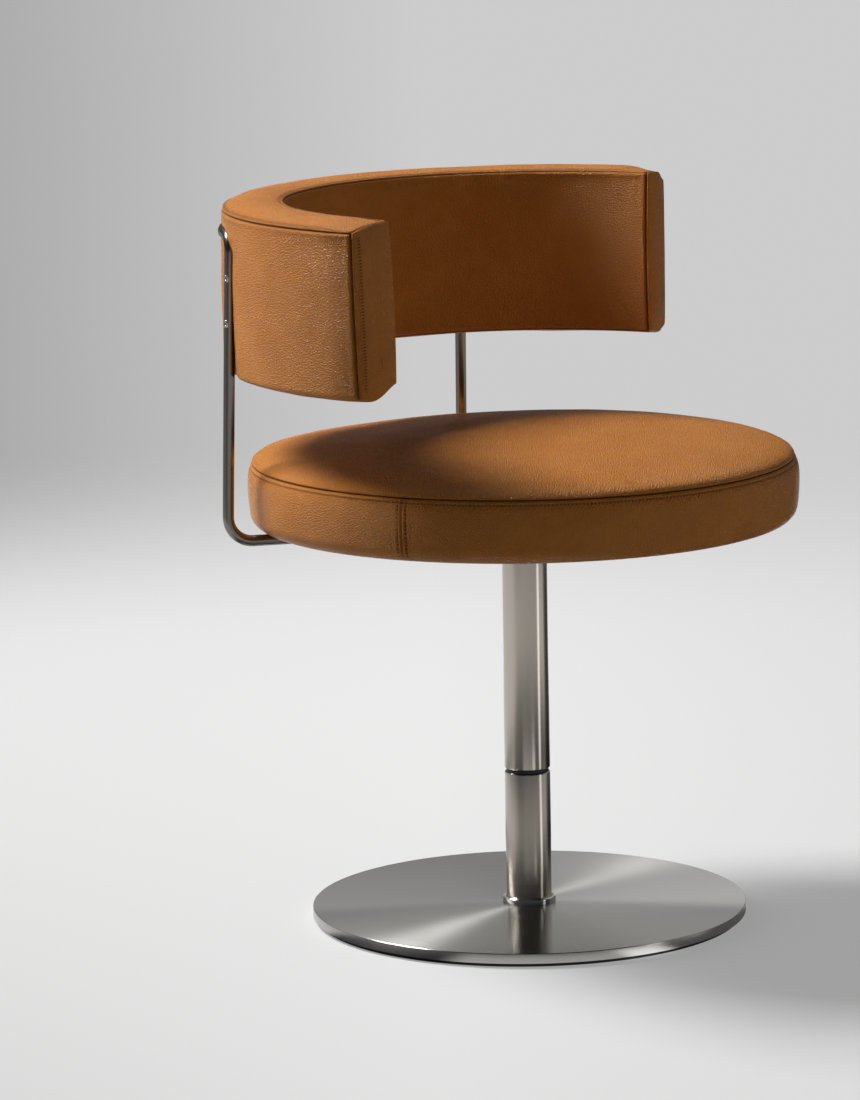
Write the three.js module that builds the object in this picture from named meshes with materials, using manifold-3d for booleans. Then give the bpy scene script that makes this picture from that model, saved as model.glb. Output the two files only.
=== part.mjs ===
// Swivel dining chair: a steel plate foot, a tube column that turns at a joint line, a round
// padded seat, and a C-shaped padded back carried on one bent rod. Millimetres, Z up, origin on
// the column's axis at the floor. The sitter faces -Y and the back wraps round the +Y side.
import * as THREE from 'three';
import { mergeVertices } from 'three/addons/utils/BufferGeometryUtils.js';
import Module from 'manifold-3d';

const wasm = await Module();
wasm.setup();

// Gaps and cuts
const gap = 0.3;
const overrun = 4;

// Plate foot
const plateRadius = 215;
const plateThickness = 10;
const plateChamfer = 0.8;
const padThickness = 3.7;
const padSetback = 5;

// Column tubes
const tubeRadius = 22.5;
const tubeWall = 2;
const tubeChamfer = 0.9;
const splitHeight = 146;
const splitOpening = 4;
const ringSetback = 1.6;
const collarHeight = 6;
const collarWidth = 3.7;

// Swivel inside the column
const spindleRadius = 12.5;
const spindleHeadroom = 27;
const spindleChamfer = 1.2;
const plugLength = 46;
const plugSocketDepth = 20;
const sleeveLength = 40;
const bushLength = 30;
const clipRoom = 4;
const clipThickness = 1.6;
const clipDrop = 6;
const clipBite = 1.5;
const clipMouth = 12;
const spindleWasherThickness = 2;

// Bolt, washer and pin that hold the column on its plate
const boltRadius = 6;
const boltHeadRadius = 9;
const boltHeadHeight = 3.2;
const boltSocketRadius = 4.6;
const boltSocketDepth = 2;
const boltThreadDepth = 18;
const washerRadius = 12;
const washerThickness = 2;
const headSink = 0.5;
const pinRadius = 1.5;
const pinInPlug = 10;

// Seat
const seatUnderside = 399;
const seatRadius = 270;
const seatBandHeight = 61;
const seatBandThickness = 25;
const seatBandBulge = 1.5;
const seatBandRound = 15;
const seatCrown = 20;
const seatPlateRadius = 85;
const seatPlateThickness = 4;
const boardThickness = 15;
const coverThickness = 1.5;
const coverSetback = 2;

// Screws and tee nuts of the seat
const seatScrewCount = 4;
const seatScrewOrbit = 62;
const seatScrewRadius = 3;
const seatScrewHeadRadius = 5.5;
const seatScrewHeadHeight = 3;
const seatScrewSocketRadius = 2.3;
const seatScrewSocketDepth = 1.5;
const teeFlangeRadius = 9;
const teeFlangeThickness = 1.2;
const teeBarrelRadius = 4.3;
const teeBarrelLength = 9;

// Padded back, an arc about a centre a little in front of the column
const backForward = 15;
const backThickness = 61;
const backHalfAngle = THREE.MathUtils.degToRad(88);
const backLift = 95;
const backHeight = 156;
const backTopRise = 6;
const backCrest = 6;
const backSag = 4;
const backPanelBulge = 3;
const backEndRound = 7;
const coreThickness = 12;
const coreMargin = 16;

// Bent rod that carries the back: its uprights stand clear of the seat, lean in, and lie in a
// groove in the leather
const rodRadius = 5.5;
const frameAngle = THREE.MathUtils.degToRad(44.5);
const uprightClearance = 20;
const uprightLean = 7.5;
const rodSink = 1.5;
const railDrop = 21;
const lowBendRadius = 24;
const topBendRadius = 13;

// Screws and inserts of the back
const backScrewDrops = [40, 84];
const backScrewSkew = THREE.MathUtils.degToRad(35);
const backScrewRadius = 2;
const backScrewHeadRadius = 3.6;
const backScrewHeadHeight = 2;
const backScrewSocketRadius = 1.3;
const backScrewSocketDepth = 1.2;
const insertRadius = 4;

// How finely round forms are cut
const discSegments = 60;
const tubeSegments = 32;
const fastenerSegments = 10;
const rodSides = 10;
const bendSteps = 5;
const railSteps = 8;
const backSteps = 20;
const backCurveSteps = 4;
const backEndSteps = 3;
const cornerSteps = 4;

// Heights and radii that follow from the sizes above
const plateBottom = padThickness + gap;
const plateTop = plateBottom + plateThickness;
const columnFoot = plateTop + gap;
const upperTubeFoot = splitHeight + splitOpening;
const tubeInner = tubeRadius - tubeWall;
const plugTop = columnFoot + plugLength;
const plugRadius = tubeInner - gap;
const spindleTop = seatUnderside - spindleHeadroom;
const clipFoot = spindleTop - clipDrop - clipThickness;
const seatSeam = seatUnderside + seatBandHeight;
const seatPlateTop = seatUnderside + seatPlateThickness;
const boardFoot = seatPlateTop + gap;
const boardTop = boardFoot + boardThickness;
const boardRadius = seatRadius - seatBandThickness - gap;
const runHeight = seatUnderside - gap - rodRadius;

const footReach = seatRadius + seatBandBulge + uprightClearance + rodRadius;
const footRadius = backForward * Math.cos(frameAngle)
  + Math.sqrt(footReach ** 2 - (backForward * Math.sin(frameAngle)) ** 2);
const railRadius = footRadius - uprightLean;
const backOuterRadius = railRadius + rodSink;
const backInnerRadius = backOuterRadius - backThickness;
const coreRadius = (backInnerRadius + backOuterRadius) / 2;
const backBottomSeam = seatSeam + backLift;
const backOuterTopSeam = backBottomSeam + backHeight;
const backInnerTopSeam = backOuterTopSeam + backTopRise;
const railHeight = backOuterTopSeam - railDrop;

const steel = (roughness) => new THREE.MeshStandardMaterial({ color: 0x9a958c, roughness, metalness: 1 });
const brushedSteel = steel(0.32);
const polishedSteel = steel(0.16);
const zincSteel = steel(0.45);
const leather = new THREE.MeshStandardMaterial({ color: 0xa86e3a, roughness: 0.55, metalness: 0 });
const blackPlastic = new THREE.MeshStandardMaterial({ color: 0x141414, roughness: 0.5, metalness: 0 });
const blackRubber = new THREE.MeshStandardMaterial({ color: 0x1a1a1a, roughness: 0.85, metalness: 0 });
const plywood = new THREE.MeshStandardMaterial({ color: 0xc9a878, roughness: 0.75, metalness: 0 });
const foam = new THREE.MeshStandardMaterial({ color: 0xd9cfa8, roughness: 0.9, metalness: 0 });
const liningCloth = new THREE.MeshStandardMaterial({ color: 0x1c1b1a, roughness: 0.95, metalness: 0 });

// One closed skin: shared corners merged, triangles without area left out, faces pointing out
function closedSkin(geometry) {
  const bare = geometry.clone();
  bare.deleteAttribute('normal');
  bare.deleteAttribute('uv');
  const merged = mergeVertices(bare);
  const corners = merged.index.array;
  const point = merged.attributes.position;
  const kept = [];
  let volume = 0;
  for (let i = 0; i < corners.length; i += 3) {
    const [a, b, c] = corners.slice(i, i + 3);
    if (a === b || b === c || c === a) continue;
    kept.push(a, b, c);
    const first = new THREE.Vector3().fromBufferAttribute(point, a);
    const second = new THREE.Vector3().fromBufferAttribute(point, b);
    const third = new THREE.Vector3().fromBufferAttribute(point, c);
    volume += first.dot(second.cross(third));
  }
  if (volume < 0) kept.reverse();
  merged.setIndex(kept);
  return merged;
}

function solidOf(geometry) {
  const skin = closedSkin(geometry);
  const vertProperties = new Float32Array(skin.attributes.position.array);
  const triVerts = new Uint32Array(skin.index.array);
  return new wasm.Manifold(new wasm.Mesh({ numProp: 3, vertProperties, triVerts }));
}

function geometryOf(solid) {
  const { vertProperties, triVerts } = solid.getMesh();
  const geometry = new THREE.BufferGeometry();
  geometry.setAttribute('position', new THREE.BufferAttribute(new Float32Array(vertProperties), 3));
  geometry.setIndex(new THREE.BufferAttribute(new Uint32Array(triVerts), 1));
  geometry.computeVertexNormals();
  return geometry;
}

// A piece with other pieces cut out of it
function cutBy(geometry, cutters) {
  const rest = cutters.reduce((solid, cutter) => solid.subtract(solidOf(cutter)), solidOf(geometry));
  return geometryOf(rest);
}

// A profile of radius and height pairs turned about the Z axis
function turned(profile, segments) {
  const points = profile.map(([radius, height]) => new THREE.Vector2(radius, height));
  if (profile[0][0] > 0) points.push(points[0].clone());
  return closedSkin(new THREE.LatheGeometry(points, segments).rotateX(Math.PI / 2));
}

function disc(radius, bottom, top, segments) {
  return turned([[0, bottom], [radius, bottom], [radius, top], [0, top]], segments);
}

function ring(inner, outer, bottom, top, segments) {
  return turned([[inner, bottom], [outer, bottom], [outer, top], [inner, top]], segments);
}

// A point at a radius and height, the angle running from the rear (+Y) towards +X
function polar(radius, angle, height) {
  return new THREE.Vector3(radius * Math.sin(angle), radius * Math.cos(angle), height);
}

// A quarter round in a profile, from one angle to another about its centre
function cornerArc(centreRadius, centreHeight, radius, startAngle, endAngle) {
  const points = [];
  for (let i = 0; i <= cornerSteps; i += 1) {
    const angle = THREE.MathUtils.lerp(startAngle, endAngle, i / cornerSteps);
    points.push([centreRadius + radius * Math.cos(angle), centreHeight + radius * Math.sin(angle)]);
  }
  return points;
}

function addPiece(group, name, geometry, material) {
  const piece = new THREE.Mesh(geometry, material);
  piece.name = name;
  group.add(piece);
  return piece;
}

// Plate foot: a felted rubber disc under a steel plate with a softened rim
const counterboreRadius = washerRadius + gap;
const counterboreDepth = gap + washerThickness + gap + boltHeadHeight + headSink;
const pinOrbit = (counterboreRadius + plugRadius) / 2;

function floorPad() {
  return disc(plateRadius - padSetback, 0, padThickness, discSegments);
}

function basePlate() {
  const blank = turned([
    [0, plateBottom],
    [plateRadius - plateChamfer, plateBottom],
    [plateRadius, plateBottom + plateChamfer],
    [plateRadius, plateTop - plateChamfer],
    [plateRadius - plateChamfer, plateTop],
    [0, plateTop],
  ], discSegments);
  const counterbore = disc(
    counterboreRadius, plateBottom - overrun, plateBottom + counterboreDepth, tubeSegments,
  );
  const boltHole = disc(boltRadius + gap, plateBottom, plateTop + overrun, tubeSegments);
  return cutBy(blank, [counterbore, boltHole, pinHole(plateBottom - overrun, plateTop + overrun)]);
}

function pinHole(bottom, top) {
  return disc(pinRadius + gap, bottom, top, fastenerSegments).translate(pinOrbit, 0, 0);
}

function locatingPin() {
  return disc(pinRadius, plateBottom + gap, columnFoot + pinInPlug, fastenerSegments);
}

function baseBolt() {
  const headFoot = plateBottom + headSink;
  const headTop = headFoot + boltHeadHeight;
  const blank = turned([
    [0, headFoot],
    [boltHeadRadius, headFoot],
    [boltHeadRadius, headTop],
    [boltRadius, headTop],
    [boltRadius, columnFoot + boltThreadDepth],
    [0, columnFoot + boltThreadDepth],
  ], tubeSegments);
  const socket = disc(boltSocketRadius, headFoot - overrun, headFoot + boltSocketDepth, 6);
  return cutBy(blank, [socket]);
}

function baseWasher() {
  const foot = plateBottom + headSink + boltHeadHeight + gap;
  return ring(boltRadius + gap, washerRadius, foot, foot + washerThickness, tubeSegments);
}

// Column: a polished bead round the foot, the fixed lower tube and the turning upper tube
function columnCollar() {
  const inner = tubeRadius + gap;
  const beadRadius = collarWidth / 2;
  const bead = cornerArc(inner + beadRadius, columnFoot + collarHeight - beadRadius, beadRadius, 0, Math.PI);
  return turned([
    [inner, columnFoot],
    [inner + collarWidth, columnFoot],
    ...bead,
  ], tubeSegments);
}

function lowerTube() {
  return turned([
    [tubeInner, columnFoot],
    [tubeRadius, columnFoot],
    [tubeRadius, splitHeight - tubeChamfer],
    [tubeRadius - tubeChamfer, splitHeight],
    [tubeInner, splitHeight],
  ], tubeSegments);
}

function upperTube() {
  return turned([
    [tubeInner, upperTubeFoot],
    [tubeRadius - tubeChamfer, upperTubeFoot],
    [tubeRadius, upperTubeFoot + tubeChamfer],
    [tubeRadius, seatUnderside - gap],
    [tubeInner, seatUnderside - gap],
  ], tubeSegments);
}

function footPlug() {
  const blank = disc(plugRadius, columnFoot, plugTop, tubeSegments);
  const socket = disc(spindleRadius + gap, plugTop - plugSocketDepth, plugTop + overrun, tubeSegments);
  const thread = disc(
    boltRadius + gap, columnFoot - overrun, columnFoot + boltThreadDepth + gap, tubeSegments,
  );
  return cutBy(blank, [socket, thread, pinHole(columnFoot - overrun, columnFoot + pinInPlug + gap)]);
}

// Swivel: a fixed spindle that the upper tube turns on, with bushes, a thrust ring and a clip
function spindle() {
  const foot = plugTop - plugSocketDepth + gap;
  const grooveRadius = spindleRadius - clipBite;
  return turned([
    [0, foot],
    [spindleRadius, foot],
    [spindleRadius, clipFoot - gap],
    [grooveRadius, clipFoot - gap],
    [grooveRadius, clipFoot + clipThickness + gap],
    [spindleRadius, clipFoot + clipThickness + gap],
    [spindleRadius, spindleTop - spindleChamfer],
    [spindleRadius - spindleChamfer, spindleTop],
    [0, spindleTop],
  ], tubeSegments);
}

function spindleSleeve() {
  return ring(spindleRadius + gap, plugRadius, splitHeight - sleeveLength, splitHeight, tubeSegments);
}

function thrustRing() {
  return ring(
    spindleRadius + gap, tubeRadius - ringSetback, splitHeight + gap, upperTubeFoot - gap, tubeSegments,
  );
}

function columnBush(foot) {
  return ring(spindleRadius + gap, plugRadius, foot, foot + bushLength, tubeSegments);
}

function spindleWasher() {
  const top = clipFoot - gap;
  return ring(spindleRadius + gap, plugRadius, top - spindleWasherThickness, top, tubeSegments);
}

function retainingClip() {
  const inner = spindleRadius - clipBite + gap;
  const outer = tubeInner - clipRoom;
  const blank = ring(inner, outer, clipFoot, clipFoot + clipThickness, tubeSegments);
  const reach = outer + overrun;
  const mouth = new THREE.BoxGeometry(reach, clipMouth, clipThickness + overrun);
  mouth.translate(reach / 2, 0, clipFoot + clipThickness / 2);
  return cutBy(blank, [mouth]);
}

// Seat: plate on the tube, plywood board, foam, leather side band and crowned leather top
function seatScrewPlace(index) {
  return polar(seatScrewOrbit, (index * 2 * Math.PI) / seatScrewCount, 0);
}

function seatScrewHoles(radius, bottom, top) {
  const holes = [];
  for (let i = 0; i < seatScrewCount; i += 1) {
    const place = seatScrewPlace(i);
    holes.push(disc(radius, bottom, top, fastenerSegments).translate(place.x, place.y, 0));
  }
  return holes;
}

function seatPlate() {
  const blank = disc(seatPlateRadius, seatUnderside, seatPlateTop, discSegments);
  return cutBy(blank, seatScrewHoles(seatScrewRadius + gap, seatUnderside - overrun, seatPlateTop + overrun));
}

function seatScrew() {
  const headTop = seatUnderside - gap;
  const headFoot = headTop - seatScrewHeadHeight;
  const tip = boardTop - gap - teeFlangeThickness;
  const recess = headFoot + seatScrewSocketDepth;
  return turned([
    [0, recess],
    [seatScrewSocketRadius, recess],
    [seatScrewSocketRadius, headFoot],
    [seatScrewHeadRadius, headFoot],
    [seatScrewHeadRadius, headTop],
    [seatScrewRadius, headTop],
    [seatScrewRadius, tip],
    [0, tip],
  ], fastenerSegments);
}

function teeNut() {
  const bore = seatScrewRadius + gap;
  const top = boardTop - gap;
  const flangeFoot = top - teeFlangeThickness;
  return turned([
    [bore, flangeFoot - teeBarrelLength],
    [teeBarrelRadius, flangeFoot - teeBarrelLength],
    [teeBarrelRadius, flangeFoot],
    [teeFlangeRadius, flangeFoot],
    [teeFlangeRadius, top],
    [bore, top],
  ], fastenerSegments);
}

function seatBoard() {
  const blank = disc(boardRadius, boardFoot, boardTop, discSegments);
  const recessFoot = boardTop - gap - teeFlangeThickness - gap;
  return cutBy(blank, [
    ...seatScrewHoles(teeBarrelRadius + gap, boardFoot - overrun, boardTop + overrun),
    ...seatScrewHoles(teeFlangeRadius + gap, recessFoot, boardTop + overrun),
  ]);
}

function bottomCover() {
  const top = boardFoot - gap;
  return ring(seatPlateRadius + coverSetback, boardRadius, top - coverThickness, top, discSegments);
}

function seatFoam() {
  return disc(boardRadius, boardTop + gap, seatSeam - gap, discSegments);
}

// The band swells a little between its seams and turns under at the bottom
function seatBand() {
  const inner = seatRadius - seatBandThickness;
  const turnUnder = cornerArc(
    seatRadius - seatBandRound, seatUnderside + seatBandRound, seatBandRound, -Math.PI / 2, 0,
  );
  const sideFoot = seatUnderside + seatBandRound;
  const side = [];
  for (let i = 1; i <= cornerSteps; i += 1) {
    const share = i / cornerSteps;
    const bulge = seatBandBulge * Math.sin(Math.PI * share);
    side.push([seatRadius + bulge, THREE.MathUtils.lerp(sideFoot, seatSeam, share)]);
  }
  return turned([[inner, seatUnderside], ...turnUnder, ...side, [inner, seatSeam]], discSegments);
}

// Crown of the top: radius as a share of the seat's, height as a share of the crown's
const crownShares = [
  [0, 1], [0.45, 0.975], [0.72, 0.9], [0.87, 0.77], [0.945, 0.59], [0.985, 0.34], [1, 0.08], [1, 0],
];

function seatTop() {
  const foot = seatSeam + gap;
  const profile = crownShares.map(([across, up]) => [seatRadius * across, foot + seatCrown * up]);
  return turned([[0, foot], ...profile.reverse()], discSegments);
}

// Back, in its own frame: a section of radius and height swept round its centre, ends rounded
function sweptRound(section, halfAngle, endRound) {
  const length = 2 * halfAngle * coreRadius;
  const geometry = new THREE.ExtrudeGeometry(section, {
    depth: length - 2 * endRound,
    steps: backSteps,
    curveSegments: backCurveSteps,
    bevelEnabled: endRound > 0,
    bevelThickness: endRound,
    bevelSize: endRound,
    bevelOffset: -endRound,
    bevelSegments: backEndSteps,
  });
  const position = geometry.attributes.position;
  for (let i = 0; i < position.count; i += 1) {
    const angle = (position.getZ(i) + endRound) / coreRadius - halfAngle;
    const place = polar(position.getX(i), angle, position.getY(i));
    position.setXYZ(i, place.x, place.y, place.z);
  }
  return closedSkin(geometry);
}

function boxSection(inner, outer, bottom, top) {
  const section = new THREE.Shape();
  section.moveTo(inner, bottom);
  section.lineTo(outer, bottom);
  section.lineTo(outer, top);
  section.lineTo(inner, top);
  return section;
}

// Four seams with a swelling panel between each two
function backSection() {
  const depth = backOuterRadius - backInnerRadius;
  const middle = (backBottomSeam + backOuterTopSeam) / 2;
  const section = new THREE.Shape();
  section.moveTo(backInnerRadius, backBottomSeam);
  section.quadraticCurveTo(coreRadius, backBottomSeam - 2 * backSag, backOuterRadius, backBottomSeam);
  section.quadraticCurveTo(backOuterRadius + backPanelBulge, middle, backOuterRadius, backOuterTopSeam);
  section.bezierCurveTo(
    backOuterRadius - depth / 12, backOuterTopSeam + 2 * backCrest,
    backInnerRadius + depth / 4, backInnerTopSeam + backCrest,
    backInnerRadius, backInnerTopSeam,
  );
  section.quadraticCurveTo(backInnerRadius - 2 * backPanelBulge, middle, backInnerRadius, backBottomSeam);
  return section;
}

function coreForm(spare) {
  const section = boxSection(
    coreRadius - coreThickness / 2 - spare,
    coreRadius + coreThickness / 2 + spare,
    backBottomSeam + coreMargin - spare,
    backOuterTopSeam - coreMargin + spare,
  );
  return sweptRound(section, backHalfAngle - (coreMargin - spare) / coreRadius, 0);
}

// One side of the surface that parts the inner pad from the outer one
function padHalf(inner, outer) {
  const section = boxSection(
    inner, outer, backBottomSeam - 2 * backSag - overrun, backInnerTopSeam + 2 * backCrest + overrun,
  );
  return solidOf(sweptRound(section, backHalfAngle + overrun / coreRadius, 0));
}

// Rod: from the column out under the seat, up outside it, and round the back in one rail
function bendPoints(before, corner, after, radius) {
  const inward = before.clone().sub(corner).normalize();
  const outward = after.clone().sub(corner).normalize();
  const half = inward.angleTo(outward) / 2;
  const reach = radius / Math.tan(half);
  const centre = inward.clone().add(outward).setLength(radius / Math.sin(half)).add(corner);
  const start = inward.multiplyScalar(reach).add(corner).sub(centre);
  const end = outward.multiplyScalar(reach).add(corner).sub(centre);
  const axis = start.clone().cross(end).normalize();
  const sweep = start.angleTo(end);
  const points = [];
  for (let i = 0; i <= bendSteps; i += 1) {
    points.push(start.clone().applyAxisAngle(axis, (sweep * i) / bendSteps).add(centre));
  }
  return points;
}

function halfRoute() {
  const turnIn = Math.atan(topBendRadius / railRadius);
  const foot = polar(footRadius, frameAngle, runHeight);
  const column = new THREE.Vector3(0, backForward, runHeight);
  const hubEnd = foot.clone().sub(column).setLength(tubeRadius + gap).add(column);
  const head = polar(railRadius / Math.cos(turnIn), frameAngle, railHeight);
  const railStart = polar(railRadius, frameAngle - turnIn, railHeight);
  const rail = [];
  for (let i = 1; i <= railSteps; i += 1) {
    rail.push(polar(railRadius, (frameAngle - turnIn) * (1 - i / railSteps), railHeight));
  }
  return [
    hubEnd,
    ...bendPoints(hubEnd, foot, head, lowBendRadius),
    ...bendPoints(foot, head, railStart, topBendRadius),
    ...rail,
  ];
}

// A path through fixed stations, so straight runs take few rings and bends take many
class StationPath extends THREE.Curve {
  constructor(stations) {
    super();
    this.stations = stations;
  }

  getPointAt(share) {
    return this.stations[Math.round(share * (this.stations.length - 1))].clone();
  }

  getTangentAt(share) {
    const index = Math.round(share * (this.stations.length - 1));
    const here = this.stations[index];
    const direction = new THREE.Vector3();
    if (index > 0) direction.add(here.clone().sub(this.stations[index - 1]).normalize());
    if (index < this.stations.length - 1) {
      direction.add(this.stations[index + 1].clone().sub(here).normalize());
    }
    return direction.normalize();
  }
}

function rodForm(radius) {
  const right = halfRoute();
  const left = right.slice(0, -1).reverse().map((point) => new THREE.Vector3(-point.x, point.y, point.z));
  const stations = [...right, ...left];
  const section = new THREE.Shape().absarc(0, 0, radius, 0, 2 * Math.PI);
  return closedSkin(new THREE.ExtrudeGeometry(section, {
    steps: stations.length - 1,
    curveSegments: rodSides / 2,
    extrudePath: new StationPath(stations),
  }));
}

// Screws through the uprights: each stands on the rod's centre line, its axis turned to the side
function uprightRadius(height) {
  const share = (height - runHeight) / (railHeight - runHeight);
  return THREE.MathUtils.lerp(footRadius, railRadius, share);
}

// How far in along a screw's axis the given radius about the back's centre lies
function reachTo(radius, from) {
  const across = from * Math.sin(backScrewSkew);
  return from * Math.cos(backScrewSkew) - Math.sqrt(radius * radius - across * across);
}

function backScrewPlaces() {
  const places = [];
  for (const side of [-1, 1]) {
    for (const drop of backScrewDrops) {
      const height = railHeight - drop;
      const radius = uprightRadius(height);
      const centre = polar(radius, side * frameAngle, height);
      const outward = polar(1, side * (frameAngle + backScrewSkew), 0);
      const turn = new THREE.Quaternion().setFromUnitVectors(new THREE.Vector3(0, 0, 1), outward);
      places.push({ centre, turn, radius });
    }
  }
  return places;
}

// In the screw's own frame: the head's face at the rod's skin, the shank pointing down Z
function backScrew(place) {
  const tip = -reachTo(coreRadius - coreThickness / 4, place.radius);
  const face = rodRadius - gap;
  return turned([
    [0, tip],
    [backScrewRadius, tip],
    [backScrewRadius, face - backScrewHeadHeight],
    [backScrewHeadRadius, face],
    [backScrewSocketRadius, face],
    [backScrewSocketRadius, face - backScrewSocketDepth],
    [0, face - backScrewSocketDepth],
  ], fastenerSegments);
}

function backScrewHole(place) {
  const tip = -reachTo(coreRadius - coreThickness / 4, place.radius) - gap;
  const face = rodRadius - gap;
  return turned([
    [0, tip],
    [backScrewRadius + gap, tip],
    [backScrewRadius + gap, face - backScrewHeadHeight],
    [backScrewHeadRadius + gap, face],
    [backScrewHeadRadius + gap, rodRadius + overrun],
    [0, rodRadius + overrun],
  ], fastenerSegments);
}

// The threaded sleeve lies in the plywood, as long as the slanted hole leaves room for
function insertSpan(place) {
  const slant = Math.asin((place.radius * Math.sin(backScrewSkew)) / coreRadius);
  const half = coreThickness / 2 / Math.cos(slant) - insertRadius * Math.tan(slant) - gap;
  const middle = -reachTo(coreRadius, place.radius);
  return { foot: middle - half, top: middle + half };
}

function backInsert(place) {
  const { foot, top } = insertSpan(place);
  return ring(backScrewRadius + gap, insertRadius, foot, top, fastenerSegments);
}

function backInsertHole(place) {
  const { foot } = insertSpan(place);
  const mouth = -reachTo(coreRadius + coreThickness, place.radius);
  return disc(insertRadius + gap, foot - gap, mouth, fastenerSegments);
}

// A cutter or piece set at a screw's place
function atScrew(geometry, place) {
  return geometry.clone().applyQuaternion(place.turn).translate(...place.centre.toArray());
}

const chair = new THREE.Group();
const standing = new THREE.Group();
const turning = new THREE.Group();
const back = new THREE.Group();
back.position.y = -backForward;
turning.add(back);
chair.add(standing, turning);

addPiece(standing, 'floor_pad', floorPad(), blackRubber);
addPiece(standing, 'base_plate', basePlate(), brushedSteel);
addPiece(standing, 'base_bolt', baseBolt(), zincSteel);
addPiece(standing, 'base_washer', baseWasher(), zincSteel);
addPiece(standing, 'locating_pin', locatingPin(), zincSteel).position.x = pinOrbit;
addPiece(standing, 'column_collar', columnCollar(), polishedSteel);
addPiece(standing, 'lower_tube', lowerTube(), brushedSteel);
addPiece(standing, 'foot_plug', footPlug(), zincSteel);
addPiece(standing, 'spindle_sleeve', spindleSleeve(), zincSteel);
addPiece(standing, 'spindle', spindle(), zincSteel);
addPiece(standing, 'thrust_ring', thrustRing(), blackPlastic);
addPiece(standing, 'spindle_washer', spindleWasher(), zincSteel);
addPiece(standing, 'retaining_clip', retainingClip(), zincSteel);

const upperBushFoot = clipFoot - gap - spindleWasherThickness - gap - bushLength;
addPiece(turning, 'upper_tube', upperTube(), brushedSteel);
addPiece(turning, 'lower_bush', columnBush(upperTubeFoot), blackPlastic);
addPiece(turning, 'upper_bush', columnBush(upperBushFoot), blackPlastic);
addPiece(turning, 'seat_plate', seatPlate(), zincSteel);
addPiece(turning, 'seat_board', seatBoard(), plywood);
addPiece(turning, 'bottom_cover', bottomCover(), liningCloth);
addPiece(turning, 'seat_foam', seatFoam(), foam);
addPiece(turning, 'seat_band', seatBand(), leather);
addPiece(turning, 'seat_top', seatTop(), leather);
for (let i = 0; i < seatScrewCount; i += 1) {
  addPiece(turning, `seat_screw_${i + 1}`, seatScrew(), zincSteel).position.copy(seatScrewPlace(i));
  addPiece(turning, `tee_nut_${i + 1}`, teeNut(), zincSteel).position.copy(seatScrewPlace(i));
}

const screwPlaces = backScrewPlaces();
const screwHoles = screwPlaces.map((place) => atScrew(backScrewHole(place), place));
const insertHoles = screwPlaces.map((place) => atScrew(backInsertHole(place), place));
const backForm = solidOf(sweptRound(backSection(), backHalfAngle, backEndRound));
const rodGroove = solidOf(rodForm(rodRadius + gap));
const corePocket = solidOf(coreForm(gap));
const innerSide = padHalf(backInnerRadius - 2 * backPanelBulge - overrun, coreRadius - gap / 2);
const outerSide = padHalf(coreRadius + gap / 2, backOuterRadius + backPanelBulge + overrun);
const innerPad = backForm.intersect(innerSide).subtract(corePocket);
const outerPad = backForm.intersect(outerSide).subtract(corePocket).subtract(rodGroove);

addPiece(back, 'back_frame', cutBy(rodForm(rodRadius), screwHoles), brushedSteel);
addPiece(back, 'back_core', cutBy(coreForm(0), [...screwHoles, ...insertHoles]), plywood);
addPiece(back, 'back_inner_pad', geometryOf(innerPad), leather);
addPiece(back, 'back_outer_pad', cutBy(geometryOf(outerPad), screwHoles), leather);
screwPlaces.forEach((place, index) => {
  const screw = addPiece(back, `back_screw_${index + 1}`, backScrew(place), polishedSteel);
  screw.position.copy(place.centre);
  screw.quaternion.copy(place.turn);
  const insert = addPiece(back, `back_insert_${index + 1}`, backInsert(place), zincSteel);
  insert.position.copy(place.centre);
  insert.quaternion.copy(place.turn);
});

export default chair;
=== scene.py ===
# Swivel dining chair: tan leather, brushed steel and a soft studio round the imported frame.
# Metres, Z up. The sitter faces -Y, the column stands on the origin.
import math
import random

import bmesh
import bpy
from mathutils import Matrix, Vector, bvhtree, kdtree, noise


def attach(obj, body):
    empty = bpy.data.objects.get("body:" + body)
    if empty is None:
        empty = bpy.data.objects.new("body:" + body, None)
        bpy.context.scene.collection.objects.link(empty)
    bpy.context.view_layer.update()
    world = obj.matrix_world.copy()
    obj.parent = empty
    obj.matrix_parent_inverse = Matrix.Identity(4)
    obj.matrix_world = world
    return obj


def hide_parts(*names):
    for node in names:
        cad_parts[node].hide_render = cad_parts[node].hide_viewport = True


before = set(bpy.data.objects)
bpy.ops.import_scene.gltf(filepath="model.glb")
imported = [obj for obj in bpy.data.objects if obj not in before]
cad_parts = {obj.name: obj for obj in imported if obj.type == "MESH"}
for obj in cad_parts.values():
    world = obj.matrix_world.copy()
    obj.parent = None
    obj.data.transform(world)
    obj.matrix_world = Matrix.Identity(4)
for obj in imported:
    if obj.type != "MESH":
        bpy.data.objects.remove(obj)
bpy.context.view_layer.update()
print("frame loaded")

random.seed(7)
mm = 0.001


# camera: fitted to the rims of the foot and seat and the seams of the back
shot = {
    "focal": 5169.62,  # in pixels of the photo
    "photoHeight": 1100,
    "sensor": 36,
    "azimuth": -58.9,
    "distance": 5.00508,
    "height": 1.24339,
    "yaw": 1.06,
    "pitch": 9.91,
    "roll": -1.02,
}


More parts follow.
